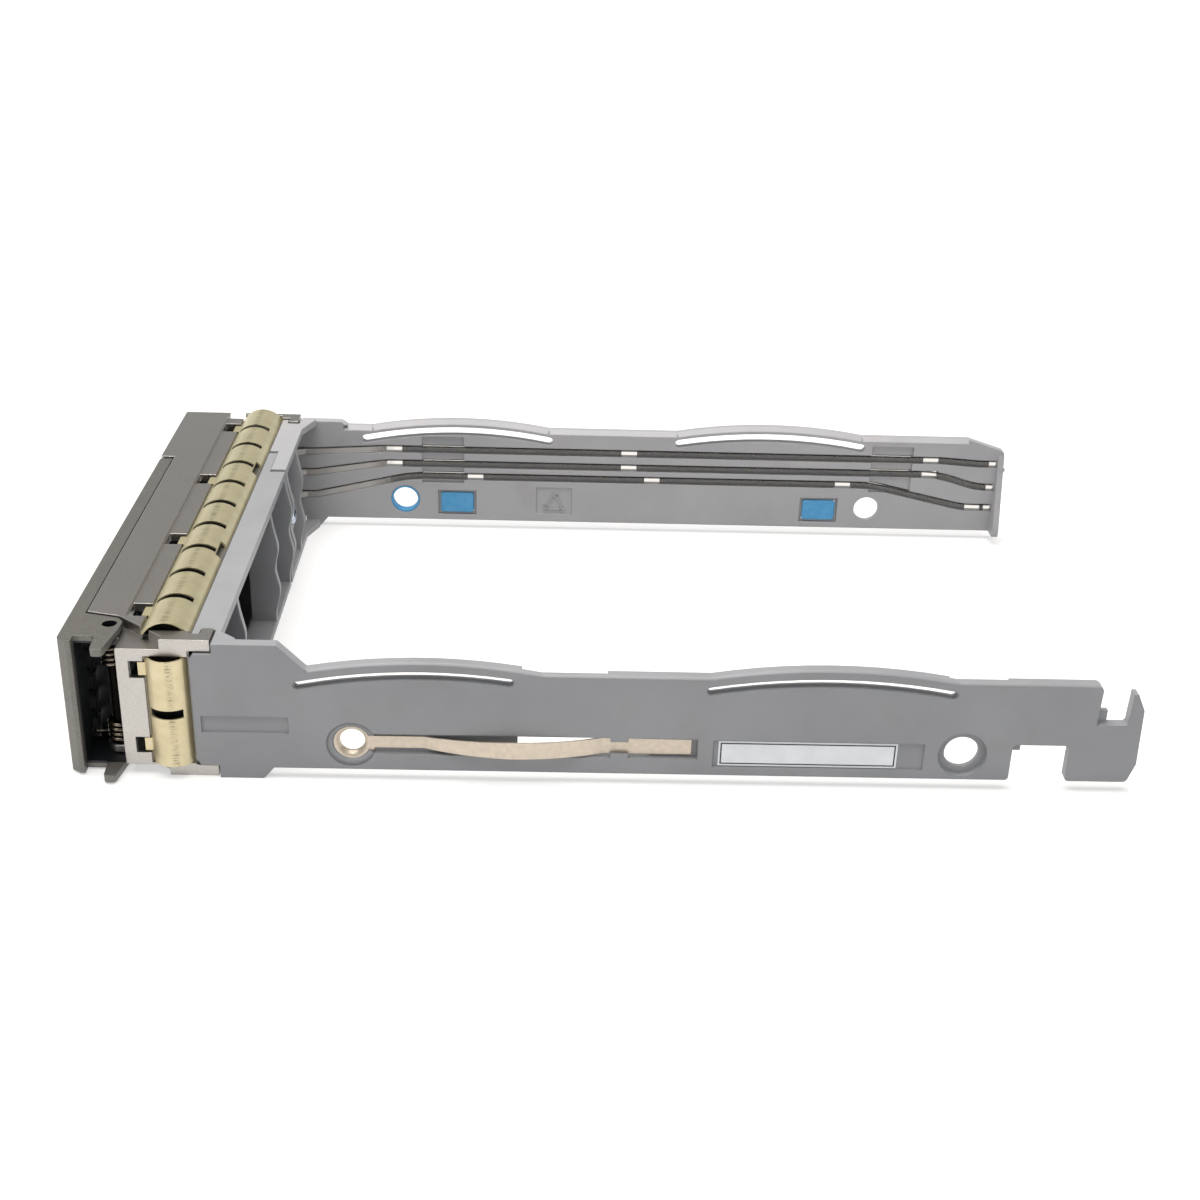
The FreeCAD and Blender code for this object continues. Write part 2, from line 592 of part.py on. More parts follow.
def rib(x_start, y):
    """Upright rib whose rear edge waves in and out down its height."""
    z0 = CROSS_SKIN
    z1 = FRAME_HEIGHT - CROSS_SKIN
    waves = len(RIB_WAVES)
    corners = [(x_start, z0), (X_CROSS_BACK, z0)]
    for i, reach in enumerate(RIB_WAVES):
        corners.append((X_CROSS_BACK + reach, z0 + (z1 - z0) * (i + 0.5) / waves, RIB_BEND))
    corners += [(X_CROSS_BACK, z1), (x_start, z1)]
    return side_plate(corners, y - RIB_WALL / 2, y + RIB_WALL / 2)


def gussets(side, across, along):
    """Corner webs, top and bottom, between the cross-member and a rail."""
    y = side * Y_IN
    corners = [
        (X_CROSS_BACK - 0.1, y), (X_CROSS_BACK - 0.1, y - side * across),
        (X_CROSS_BACK, y - side * across), (X_CROSS_BACK + along, y - side * across * 0.15, 0.8),
        (X_CROSS_BACK + along, y)]
    return [plan_plate(corners, z0, z0 + CROSS_SKIN) for z0 in (0, FRAME_HEIGHT - CROSS_SKIN)]


def hook_pockets(side):
    """Room in the frame for the cage's L-shaped hooks, top and bottom."""
    y = side * Y_CAGE
    x1 = X_CAGE_BACK + HOOK_REACH
    base = sorted((y + 2 * side, y - side * (HOOK_ROOT + FIT_GAP)))
    tall = sorted((y + 2 * side, y - side * (HOOK_RISE + FIT_GAP)))
    pockets = []
    for z0, z1 in ((-1, HOOK_HEIGHT + FIT_GAP), (CAGE_HEIGHT - HOOK_HEIGHT - FIT_GAP, CAGE_HEIGHT)):
        pockets.append(box(X_FRAME - 1, x1 + FIT_GAP, *base, z0, z1))
        pockets.append(box(x1 - HOOK_WIDTH - FIT_GAP, x1 + FIT_GAP, *tall, z0, z1))
    return pockets


def frame_near():
    """Near rail with the long piece of the cross-member, moulded in one."""
    y_full = far(LAP_REAR) - LAP_GAP
    y_end = far(LAP_FRONT)
    parts = [near_rail()]
    parts += cross_skins(-Y_IN, y_full, X_FRAME, X_CROSS_BACK)
    parts += cross_skins(y_full, y_end, X_FRAME, X_LAP)
    parts += [rib(X_FRAME, near(offset)) for offset in RIB_OFFSETS]
    parts.append(rib(X_FRAME, y_full - RIB_WALL / 2))
    parts.append(box(X_LAP - LAP_WALL, X_LAP, y_full, y_end, 0, FRAME_HEIGHT))
    parts.append(rod(LAP_BOSS, Vector(X_FRAME, Y_SCREW, SCREW_HEIGHT),
                     Vector(X_LAP, Y_SCREW, SCREW_HEIGHT)))
    parts += gussets(-1, 2.6, 2.6)
    frame = fuse_all(parts)
    pilot = rod(SCREW_RADIUS, Vector(X_FRAME - 1, Y_SCREW, SCREW_HEIGHT),
                Vector(X_LAP + 1, Y_SCREW, SCREW_HEIGHT))
    return cut_all(frame, hook_pockets(-1) + [pilot])


def frame_far():
    """Far rail with the short piece of the cross-member, screwed behind the near piece."""
    x_lap = X_LAP + LAP_SEAT_GAP
    y_full = far(LAP_FRONT) + LAP_GAP
    y_end = far(LAP_REAR)
    parts = [far_rail()]
    parts += cross_skins(y_full, Y_IN, X_FRAME, X_CROSS_BACK)
    parts += cross_skins(y_end, y_full, x_lap, X_CROSS_BACK)
    parts.append(box(x_lap, x_lap + LAP_WALL, y_end, y_full, 0, FRAME_HEIGHT))
    parts.append(rib(x_lap, y_end + RIB_WALL / 2))
    parts.append(rib(X_FRAME, far(FAR_RIB_OFFSET)))
    parts.append(rod(LAP_BOSS, Vector(x_lap, Y_SCREW, SCREW_HEIGHT),
                     Vector(X_CROSS_BACK, Y_SCREW, SCREW_HEIGHT)))
    parts += gussets(1, 6.4, FAR_FOOT_END - CAGE_DEPTH - FIT_GAP - CROSS_DEPTH)
    frame = fuse_all(parts)
    back = Vector(X_CROSS_BACK + 1, Y_SCREW, SCREW_HEIGHT)
    hole = rod(SCREW_RADIUS + SCREW_CLEARANCE, Vector(x_lap - 1, Y_SCREW, SCREW_HEIGHT), back)
    sink = rod(SCREW_HEAD_RADIUS + FIT_GAP, Vector(X_SCREW_SEAT, Y_SCREW, SCREW_HEIGHT), back)
    return cut_all(frame, hook_pockets(1) + [hole, sink])


def joint_screw():
    """Pan-head screw that clamps the lap joint, its head to the rear."""
    seat = Vector(X_SCREW_SEAT, Y_SCREW, SCREW_HEIGHT)
    x_top = X_SCREW_SEAT + SCREW_HEAD_HEIGHT
    shank = rod(SCREW_RADIUS, Vector(X_FRAME + 0.3, Y_SCREW, SCREW_HEIGHT), seat)
    head = rod(SCREW_HEAD_RADIUS, seat, Vector(x_top, Y_SCREW, SCREW_HEIGHT))
    rim = [edge for edge in head.Edges if edge.BoundBox.XMin > x_top - 0.01]
    head = head.makeFillet(0.6, rim)
    cross = [box(x_top - 0.8, x_top + 1, Y_SCREW - a, Y_SCREW + a, SCREW_HEIGHT - b, SCREW_HEIGHT + b)
             for a, b in ((1.4, 0.35), (0.35, 1.4))]
    return cut_all(shank.fuse(head), cross)


# --- cage ------------------------------------------------------------------------------------------
SLOT_COUNT = 4                           # finger strip's slots, evenly spaced
SLOT_INSETS = (11.9, 8.5)                # first and last slot from the near and far outer faces
SLOT_WIDTH = 4.6
X_SLOT = (9.35, 12.6)
SIDE_SEAT = 7.1                          # from the cage's back to the front of a side strip
SIDE_SEAT_SINK = 0.6
SIDE_WINDOWS = ((4.2, 7.2), (18.3, 21.4))
SIDE_WINDOW = 2.5                        # side window's reach in front of the seat
PIPE_HEAD = (2.6, 1.8)                   # light pipe's head, across and up
BRIDGE_END = 16.3                        # setback of the end of the open pivot corner
X_SIDE_SEAT = X_CAGE_BACK - SIDE_SEAT


def pivot_corner(gap):
    """Plan of the corner of the cage that the lever's ears turn over."""
    return [
        (X_FRONT - 1, -Y_OUT - 4), (X_FRONT - 1, near(EAR_ROOT) + gap),
        (X_LEVER_BACK + 0.6, near(EAR_ROOT) + gap),
        (X_PIVOT + 1.0, Y_PIVOT + EAR_RADIUS + 0.1 + gap),
        (X_FRONT + BRIDGE_END, near(1.9)), (X_FRONT + BRIDGE_END, -Y_OUT - 4)]


def lug_corners():
    """Plan of the cage's floor under an ear, with its round pivot lug."""
    x0 = X_PIVOT - EAR_RADIUS
    x1 = X_PIVOT + EAR_RADIUS - 0.1
    y1 = near(EAR_ROOT) + 1.5
    return [
        (x0, Y_PIVOT - EAR_RADIUS, EAR_RADIUS - 0.1), (x0, y1), (X_FRONT + BRIDGE_END + 1.2, y1),
        (X_FRONT + BRIDGE_END + 1.2, -Y_CAGE), (x1, -Y_CAGE, 0.3), (x1, Y_PIVOT - EAR_RADIUS)]


def corner_wall():
    """Upright wall that closes the cage behind the torsion springs."""
    y_edge = Y_PIVOT + EAR_RADIUS + 0.1 + SLIDE_GAP
    corners = [
        (X_LEVER_BACK + 0.6, near(EAR_ROOT) + SLIDE_GAP), (X_PIVOT + 1.0, y_edge),
        (X_PIVOT + 1.0, y_edge + 1.2), (X_LEVER_BACK + 0.6, near(EAR_ROOT) + SLIDE_GAP + 1.2)]
    return plan_plate(corners, Z_FLOOR_LOW, Z_FLOOR_TOP)


def cage_hooks(side):
    """L-shaped hooks that hold one side of the cage in the frame."""
    y = side * Y_CAGE
    x1 = X_CAGE_BACK + HOOK_REACH
    base = sorted((y, y - side * HOOK_ROOT))
    tall = sorted((y, y - side * HOOK_RISE))
    hooks = []
    for z0, z1 in ((0, HOOK_HEIGHT), (CAGE_HEIGHT - HOOK_HEIGHT, CAGE_HEIGHT)):
        hooks.append(box(X_CAGE_BACK, x1, *base, z0, z1))
        hooks.append(box(x1 - HOOK_WIDTH, x1, *tall, z0, z1))
    return hooks


def slot_centres():
    """World Y of the slots for the top finger strip's tabs."""
    first = near(SLOT_INSETS[0])
    pitch = (far(SLOT_INSETS[1]) - first) / (SLOT_COUNT - 1)
    return [first + pitch * i for i in range(SLOT_COUNT)]


def latch_guide():
    """Channel behind the bezel that guides the latch and stops its spring."""
    y0 = Y_LATCH_END - 1.5
    y1 = Y_LATCH_END + LATCH_SPRING_LENGTH
    x1 = X_LATCH_BACK + SLIDE_GAP + 1.0
    reach = LATCH_HALF + SLIDE_GAP + 1.3
    channel = box(X_LATCH, x1, y0, y1, Z_MID - reach, Z_MID + reach)
    stop = box(X_FRONT + BEZEL_WALL / 2, x1, y1, y1 + 1.2, Z_MID - reach, Z_MID + reach)
    room = box(X_LATCH - 1, X_LATCH_BACK + SLIDE_GAP, y0 - 1, y1, Z_MID - LATCH_HALF - SLIDE_GAP,
               Z_MID + LATCH_HALF + SLIDE_GAP)
    return channel.fuse(stop).cut(room)


def front_cage():
    """Die-cast cage: a sleeve open front and rear, its far quarter closed as the fixed bezel."""
    top = CAGE_HEIGHT
    z0 = CAGE_TOP_WALL
    z1 = top - CAGE_TOP_WALL
    side_wall_end = X_LATCH_BACK + SLIDE_GAP + 1.0
    sleeve = box(X_CAGE, X_CAGE_BACK, -Y_CAGE, Y_CAGE, 0, top)
    bezel = box(X_FRONT, X_CAGE, Y_BEZEL, Y_CAGE, 0, top)
    hollow = box(X_CAGE - 1, X_CAGE_BACK + 1, -Y_CAGE + CAGE_WALL, Y_CAGE - CAGE_WALL, z0, z1)
    bezel_hollow = box(X_FRONT + BEZEL_WALL, X_CAGE, Y_BEZEL, Y_CAGE - CAGE_WALL, z0, z1)
    corner = plan_plate(pivot_corner(SLIDE_GAP), -1, top + 1)
    body = cut_all(sleeve.fuse(bezel), [hollow, bezel_hollow, corner])
    side_wall = box(X_FRONT, side_wall_end, Y_BEZEL, Y_BEZEL + BEZEL_SIDE_WALL, 0, top)
    near_wall = box(X_PIVOT + EAR_RADIUS - 0.1, X_FRONT + BRIDGE_END, -Y_CAGE, -Y_CAGE + CAGE_WALL,
                    Z_FLOOR_LOW, Z_FLOOR_TOP)
    floors = [plan_plate(lug_corners(), z, z + LUG_WALL) for z in (Z_FLOOR_LOW, Z_FLOOR_TOP - LUG_WALL)]
    body = fuse_all([body, side_wall, near_wall, corner_wall(), latch_guide()] + floors
                    + cage_hooks(-1) + cage_hooks(1))
    x_shelf = X_FRONT + SHELF_SETBACK
    x_seat = X_FRONT + SEAT_SETBACK
    y_strip = near(TOP_STRIP_START)
    cutters = [
        box(x_shelf, x_seat, near(EAR_ROOT) - 1, Y_CAGE - CAGE_WALL, top - SHELF_DROP, top + 1),
        box(x_seat, X_CAGE_BACK, y_strip - 0.2, Y_CAGE - 1.0, top - SEAT_DROP, top + 1),
        box(x_shelf + 0.2, x_seat + 0.2, Y_CAGE - 2.4, Y_CAGE - CAGE_WALL, -1, top + 1),
        box(x_shelf + 0.2, x_seat + 0.2, Y_CAGE - 2.4, Y_CAGE + 1, top - SHELF_NOTCH, top + 1),
        rod(PIVOT_HOLE, Vector(X_PIVOT, Y_PIVOT, -1), Vector(X_PIVOT, Y_PIVOT, top + 1)),
    ]
    for centre in slot_centres():
        cutters.append(box(X_FRONT + X_SLOT[0], X_FRONT + X_SLOT[1], centre - SLOT_WIDTH / 2,
                           centre + SLOT_WIDTH / 2, top - CAGE_TOP_WALL - 1, top + 1))
    return cut_all(body, cutters + side_seats() + bezel_openings())


def side_seats():
    """Recesses and windows for the side finger strips."""
    cutters = []
    for side in (-1, 1):
        y = side * Y_CAGE
        seat = sorted((y + side, y - side * SIDE_SEAT_SINK))
        cutters.append(box(X_SIDE_SEAT - 0.1, X_CAGE_BACK + 1, *seat,
                           SIDE_STRIP_FOOT - 0.2, SIDE_STRIP_FOOT + SIDE_STRIP_HEIGHT + 0.2))
        through = sorted((y + side, y - side * (CAGE_WALL + 1)))
        for z0, z1 in SIDE_WINDOWS:
            cutters.append(box(X_SIDE_SEAT - SIDE_WINDOW, X_SIDE_SEAT + 0.1, *through, z0, z1))
    return cutters


def bezel_openings():
    """Button hole, three indicator windows and the latch's slot."""
    gap = SLIDE_GAP
    half = BUTTON_HEIGHT / 2
    hole = rounded_rectangle(Y_BUTTON - gap, Y_BUTTON + BUTTON_WIDTH + gap,
                             Z_MID - half - gap, Z_MID + half + gap, 1.2 + gap)
    openings = [front_plate(hole, X_FRONT - 1, X_FRONT + BEZEL_WALL + 0.1)]
    across = PIPE_HEAD[0] / 2 + 0.1
    up = PIPE_HEAD[1] / 2 + 0.1
    for z in PIPE_FRONT_HEIGHTS:
        openings.append(box(X_FRONT - 1, X_FRONT + BEZEL_WALL + 0.1, Y_WINDOW - across,
                            Y_WINDOW + across, z - up, z + up))
    openings.append(box(X_LATCH - gap, X_LATCH_BACK + gap, Y_BEZEL - 1, Y_BEZEL + BEZEL_SIDE_WALL + 0.1,
                        Z_MID - LATCH_HALF - gap, Z_MID + LATCH_HALF + gap))
    return openings


# --- lever, pin and springs --------------------------------------------------------------------------
GRILLE_CELL = 3.2          # hexagonal air holes, across flats
GRILLE_PITCH = 3.95
GRILLE_MARGIN = 7.5


def ear_corners():
    """Plan of one lever ear, from the wall round the pivot to the cam prong."""
    y_root = near(EAR_ROOT)
    y_tip = -Y_OUT - PRONG_REACH
    return [
        (X_FRONT + 0.5, near(1.8)), (X_FRONT + 0.5, y_root), (X_LEVER_BACK + 0.4, y_root),
        (X_PIVOT + 0.9, Y_PIVOT + EAR_RADIUS + 0.1, 1.0),
        (X_PIVOT + EAR_RADIUS - 0.1, Y_PIVOT + 0.9, 0.8),
        (X_PIVOT + EAR_RADIUS - 0.15, near(4.6)),
        (X_PIVOT + 0.8, y_tip, 0.75), (X_PIVOT - 1.1, y_tip, 0.75),
        (X_PIVOT - 1.35, near(1.8), 0.7)]


def lever():
    """Die-cast latch lever: a grille wall with a hinge ear and a cam prong top and bottom."""
    z0 = Z_LEVER
    z1 = Z_LEVER_TOP
    wall = plan_plate([
        (X_FRONT, near(1.1), 0.4), (X_FRONT + 1.6, near(0), 0.3), (X_LEVER_BACK, near(0), 0.2),
        (X_LEVER_BACK, Y_LEVER_END), (X_FRONT, Y_LEVER_END, 0.5)], z0, z1)
    ears = [plan_plate(ear_corners(), z, z + LEVER_EAR) for z in (z0, z1 - LEVER_EAR)]
    z_low = Z_MID - LATCH_HALF
    z_high = Z_MID + LATCH_HALF
    x_lip = X_LATCH_BACK + SLIDE_GAP
    arm = box(X_LEVER_BACK, x_lip + LIP_WALL, Y_LIP - 2.0, Y_LIP - 0.8, z_low, z_high)
    lip = box(x_lip, x_lip + LIP_WALL, Y_LIP - 0.8, Y_LIP, z_low, z_high)
    solid = fuse_all([wall, arm, lip] + ears)
    bore = rod(PIVOT_HOLE, Vector(X_PIVOT, Y_PIVOT, z0 - 1), Vector(X_PIVOT, Y_PIVOT, z1 + 1))
    return cut_all(solid, grille_holes() + [bore])


def grille_holes():
    """Hexagonal air holes through the lever's wall, in staggered columns."""
    column = GRILLE_PITCH * math.sqrt(3) / 2
    count = int((Y_LEVER_END + Y_OUT - 2 * GRILLE_MARGIN) / column) + 1
    y_first = (Y_LEVER_END - Y_OUT) / 2 - column * (count - 1) / 2
    corner = GRILLE_CELL / math.sqrt(3)
    holes = []
    for i in range(count):
        rows = 5 - i % 2
        for j in range(rows):
            y = y_first + i * column
            z = Z_MID + (j - (rows - 1) / 2) * GRILLE_PITCH
            hexagon = [(y + corner * math.cos(math.radians(60 * k)),
                        z + corner * math.sin(math.radians(60 * k))) for k in range(6)]
            holes.append(front_plate(hexagon, X_FRONT - 1, X_LEVER_BACK + 1))
    return holes


def pivot_pin():
    """Hinge pin through both ears and both lugs of the cage."""
    pin = rod(PIVOT_HOLE - PIN_CLEARANCE, Vector(X_PIVOT, Y_PIVOT, Z_LEVER + PIN_SINK),
              Vector(X_PIVOT, Y_PIVOT, Z_LEVER_TOP - PIN_SINK))
    ends = [edge for edge in pin.Edges if edge.BoundBox.ZLength < 0.01]
    return pin.makeChamfer(0.2, ends)


SPRING_WIRE = 0.7
SPRING_TURNS = 4
SPRING_PITCH = 0.95
SPRING_SIDE_GAP = 0.15     # coil to pin
SPRING_LEG = 4.0           # leg that bears on the cage


def torsion_spring(upper):
    """Close coil round the pin, one leg bearing on the cage and one on the lever's wall."""
    radius = PIVOT_HOLE + SPRING_SIDE_GAP + SPRING_WIRE / 2
    rise = SPRING_PITCH * SPRING_TURNS
    cage_leg = wire_leg(Vector(0, radius, 0), Vector(SPRING_LEG, radius, 0), SPRING_WIRE)
    lever_leg = wire_leg(Vector(0, radius, rise),
                         Vector(X_LEVER_BACK - X_PIVOT + SLIDE_GAP, radius, rise), SPRING_WIRE)
    spring = fuse_all([coil(radius, SPRING_WIRE, SPRING_PITCH, SPRING_TURNS), cage_leg, lever_leg])
    lug_gap = 0.1 + SPRING_WIRE / 2
    if upper:
        z = Z_FLOOR_TOP - LUG_WALL - lug_gap - rise
    else:
        spring = spring.mirror(Vector(0, 0, 0), Vector(0, 0, 1))
        z = Z_FLOOR_LOW + LUG_WALL + lug_gap + rise
    spring.translate(Vector(X_PIVOT, Y_PIVOT, z))
    return spring


# --- release button, latch and spring ------------------------------------------------------------------
# The button's wedge moves back and pushes the latch aside by as much, through 45 degree faces.
Y_POST = (Y_BUTTON + 1.0, Y_BUTTON + 1.0 + TRAVEL + 1.7)
Y_LATCH_WINDOW = (Y_POST[0] - TRAVEL - SLIDE_GAP, Y_POST[1] - TRAVEL)


def release_button():
    """Button cap with a retaining rim and the wedge that works the latch."""
    half = BUTTON_HEIGHT / 2
    y1 = Y_BUTTON + BUTTON_WIDTH
    cap = front_plate(rounded_rectangle(Y_BUTTON, y1, Z_MID - half, Z_MID + half, 1.2),
                      X_FRONT, X_FRONT + BEZEL_WALL + 0.2)
    x_rim = X_FRONT + BEZEL_WALL + 0.1
    rim = front_plate(rounded_rectangle(Y_BUTTON - BUTTON_RIM, y1 + BUTTON_RIM,
                                        Z_MID - half - BUTTON_RIM, Z_MID + half + BUTTON_RIM, 1.2),
                      x_rim, x_rim + BUTTON_RIM_WALL)
    sum_xy = X_LATCH + Y_POST[1] - WEDGE_GAP * math.sqrt(2)
    post = plan_plate([
        (x_rim, Y_POST[0]), (sum_xy - Y_POST[0], Y_POST[0]), (sum_xy - Y_POST[1], Y_POST[1]),
        (x_rim, Y_POST[1])], Z_MID - POST_HALF, Z_MID + POST_HALF)
    return fuse_all([cap, rim, post])


def latch():
    """Sliding latch: nose, window with the wedged face, and the pin for its spring."""
    plan = [
        (X_LATCH, Y_NOSE, 0.5), (X_LATCH_BACK, Y_NOSE), (X_LATCH_BACK, Y_LATCH_END),
        (X_LATCH, Y_LATCH_END)]
    window = [
        (X_LATCH - 1, Y_LATCH_WINDOW[0]), (X_LATCH_BACK + 1, Y_LATCH_WINDOW[0]),
        (X_LATCH_BACK + 1, Y_LATCH_WINDOW[1] + LATCH_WALL - TRAVEL - 1),
        (X_LATCH - 1, Y_LATCH_WINDOW[1] + LATCH_WALL + 1)]
    body = plan_plate(plan, Z_MID - LATCH_HALF, Z_MID + LATCH_HALF)
    opening = plan_plate(window, Z_MID - POST_HALF - SLIDE_GAP, Z_MID + POST_HALF + SLIDE_GAP)
    x = X_LATCH + LATCH_WALL / 2
    pin = rod(0.6, Vector(x, Y_LATCH_END - 0.5, Z_MID), Vector(x, Y_LATCH_END + 1.7, Z_MID))
    return body.cut(opening).fuse(pin).removeSplitter()


def latch_spring():
    """Compression spring between the latch and the stop of its guide."""
    free = LATCH_SPRING_LENGTH - LATCH_SPRING_WIRE - 0.1
    spring = coil(LATCH_SPRING_RADIUS, LATCH_SPRING_WIRE, free / LATCH_SPRING_TURNS, LATCH_SPRING_TURNS)
    spring.rotate(Vector(0, 0, 0), Vector(1, 0, 0), -90)
    spring.translate(Vector(X_LATCH + LATCH_WALL / 2, Y_LATCH_END + LATCH_SPRING_WIRE / 2 + 0.05, Z_MID))
    return spring


# --- finger strips and ground spring -----------------------------------------------------------------
def bowed_sheet(width, length, bulge, sheet):
    """Sheet bowed up across X, laid along +Y; its edges are on the plane z = 0."""
    mid, centre, radius = bow(0, width, 0, bulge)
    lip = sheet / (radius - bulge) * radius
    outer = Part.Arc(Vector(0, 0, 0), Vector(mid, 0, bulge), Vector(width, 0, 0)).toShape()
    inner = Part.Arc(Vector(width - lip, 0, 0), Vector(mid, 0, bulge - sheet), Vector(lip, 0, 0)).toShape()
    foot_a = Part.LineSegment(Vector(width, 0, 0), Vector(width - lip, 0, 0)).toShape()
    foot_b = Part.LineSegment(Vector(lip, 0, 0), Vector(0, 0, 0)).toShape()
    return Part.Face(Part.Wire([outer, foot_a, inner, foot_b])).extrude(Vector(0, length, 0))


def finger_strip(width, length, fingers, tabs, tab_width):
    """Bowed strip slit into fingers, with hooked tabs that reach through the seat's slots."""
    sheet = bowed_sheet(width, length, STRIP_BULGE, STRIP_SHEET)
    ends = [width * share for share in STRIP_EDGES]
    pitch = length / fingers
    cuts = [0] + [pitch * i + side * STRIP_SLIT / 2 for i in range(1, fingers) for side in (-1, 1)] + [length]
    pieces = [sheet.common(box(-1, ends[0], 0, length, -1, STRIP_BULGE + 1)),
              sheet.common(box(ends[1], width + 1, 0, length, -1, STRIP_BULGE + 1))]
    for y0, y1 in zip(cuts[::2], cuts[1::2]):
        pieces.append(sheet.common(box(*ends, y0, y1, -1, STRIP_BULGE + 1)))
    half = tab_width / 2
    for y in tabs:
        pieces.append(box(-1.1, 0.4, y - half, y + half, 0, STRIP_SHEET))
        pieces.append(box(-1.1, -1.1 + STRIP_SHEET, y - half, y + half, -1.2, STRIP_SHEET))
    return pieces[0].multiFuse(pieces[1:])


def finger_strip_top():
    """Strip along the top of the cage, notched twice at its rear edge."""
    start = near(TOP_STRIP_START)
    length = Y_CAGE - 1.2 - start
    width = CAGE_DEPTH - SEAT_SETBACK - 0.2
    pitch = length / STRIP_FINGERS
    tabs = [centre - start for centre in slot_centres()]
    strip = finger_strip(width, length, STRIP_FINGERS, tabs, SLOT_WIDTH - 1.4)
    notches = [box(width - 1.1, width + 1, pitch * at - 2.8, pitch * at + 2.8, -1, STRIP_BULGE)
               for at in STRIP_NOTCHES]
    strip = strip.cut(Part.makeCompound(notches))
    strip.translate(Vector(X_FRONT + SEAT_SETBACK + 0.1, start, CAGE_HEIGHT - SEAT_DROP))
    return strip.Solids[0]


def finger_strip_side(side):
    """Upright strip on one side of the cage, slit once."""
    width = SIDE_SEAT - 0.1
    tabs = [(z0 + z1) / 2 - SIDE_STRIP_FOOT for z0, z1 in SIDE_WINDOWS]
    strip = finger_strip(width, SIDE_STRIP_HEIGHT, 2, tabs, 2.4).Solids[0]
    strip.rotate(Vector(0, 0, 0), Vector(1, 0, 0), 90)
    if side > 0:
        strip = strip.mirror(Vector(0, 0, 0), Vector(0, 1, 0))
    strip.translate(Vector(X_SIDE_SEAT, side * (Y_CAGE - SIDE_SEAT_SINK), SIDE_STRIP_FOOT))
    return strip


GROUND_SHEET = 0.3
GROUND_BOW = (58.6, 88.0)        # setbacks of the bow's two ends
GROUND_PROUD = 1.6               # crest past the rail's outer face
GROUND_HALF = (1.1, 1.55, 1.4)   # half heights at the eyelet, the crest and the tip


def ground_spring():
    """Leaf that bows out of the near rail, with an eyelet clamped by the front drive screw."""
    y_seat = -Y_OUT + HOLE_SINK_DEPTH
    z = sum(SPRING_CHANNEL_Z) / 2
    x0 = X_FRONT + GROUND_BOW[0]
    x1 = X_FRONT + GROUND_BOW[1]
    x_mid = (x0 + x1) / 2
    x_tip = X_FRONT + SPRING_CHANNEL_END - 1.0
    y_crest = -Y_OUT - GROUND_PROUD
    edges = []
    for y, crest in ((y_seat, y_crest + GROUND_SHEET), (y_seat - GROUND_SHEET, y_crest)):
        points = [Vector(X_HOLE + 2.5, y, 0), Vector(x0, y, 0), Vector(x1, y, 0), Vector(x_tip, y, 0)]
        run = [Part.LineSegment(points[0], points[1]).toShape(),
               Part.Arc(points[1], Vector(x_mid, crest, 0), points[2]).toShape(),
               Part.LineSegment(points[2], points[3]).toShape()]
        edges.append((points, run))
    (back, back_run), (face, face_run) = edges
    caps = [Part.LineSegment(back[0], face[0]).toShape(), Part.LineSegment(back[3], face[3]).toShape()]
    section = Part.Face(Part.Wire(Part.__sortEdges__(back_run + face_run + caps)))
    section.translate(Vector(0, 0, z - 2))
    leaf = section.extrude(Vector(0, 0, 4))
    eye, crest, tip = GROUND_HALF
    outline = side_plate([
        (X_HOLE, z - eye), (x0, z - eye, 20.0), (x_mid, z - crest, 60.0), (x_tip + 1, z - tip),
        (x_tip + 1, z + tip), (x_mid, z + crest, 60.0), (x0, z + eye, 20.0), (X_HOLE, z + eye)],
        y_crest - 1, y_seat + 1)
    ring = rod(NEAR_SINK_RADIUS - 0.2, Vector(X_HOLE, y_seat - GROUND_SHEET, HOLE_HEIGHT),
               Vector(X_HOLE, y_seat, HOLE_HEIGHT))
    eyelet = rod(NEAR_HOLE_RADIUS + 0.05, Vector(X_HOLE, y_seat - 2, HOLE_HEIGHT),
                 Vector(X_HOLE, y_seat + 1, HOLE_HEIGHT))
    return cut_all(leaf.common(outline).fuse(ring), [eyelet])


# --- light pipes, damper, label ------------------------------------------------------------------------
def light_pipe(index):
    """Clear bar in its groove in the far rail, jogging inwards to its window in the bezel."""
    half = PIPE / 2
    y_mid = Y_IN + GROOVE_DEPTH - 0.05 - half
    z = PIPE_FRONT_HEIGHTS[index]
    x_end = X_FAR_END - FLANGE_WALL - FIT_GAP
    x_in = X_CAGE_BACK - 4.0
    run = side_plate(pipe_profile(index, X_PIPE_TURN, 0, 0, x_end), y_mid - half, y_mid + half)
    jog = plan_plate([
        (X_FRONT + 2.0, Y_WINDOW - half), (x_in, Y_WINDOW - half), (X_PIPE_TURN - 1.5, y_mid - half),
        (X_PIPE_TURN, y_mid - half), (X_PIPE_TURN, y_mid + half), (X_PIPE_TURN - 1.5, y_mid + half),
        (x_in, Y_WINDOW + half), (X_FRONT + 2.0, Y_WINDOW + half)], z - half, z + half)
    head = box(X_FRONT + 0.1, X_FRONT + 2.4, Y_WINDOW - PIPE_HEAD[0] / 2, Y_WINDOW + PIPE_HEAD[0] / 2,
               z - PIPE_HEAD[1] / 2, z + PIPE_HEAD[1] / 2)
    return fuse_all([run, jog, head])


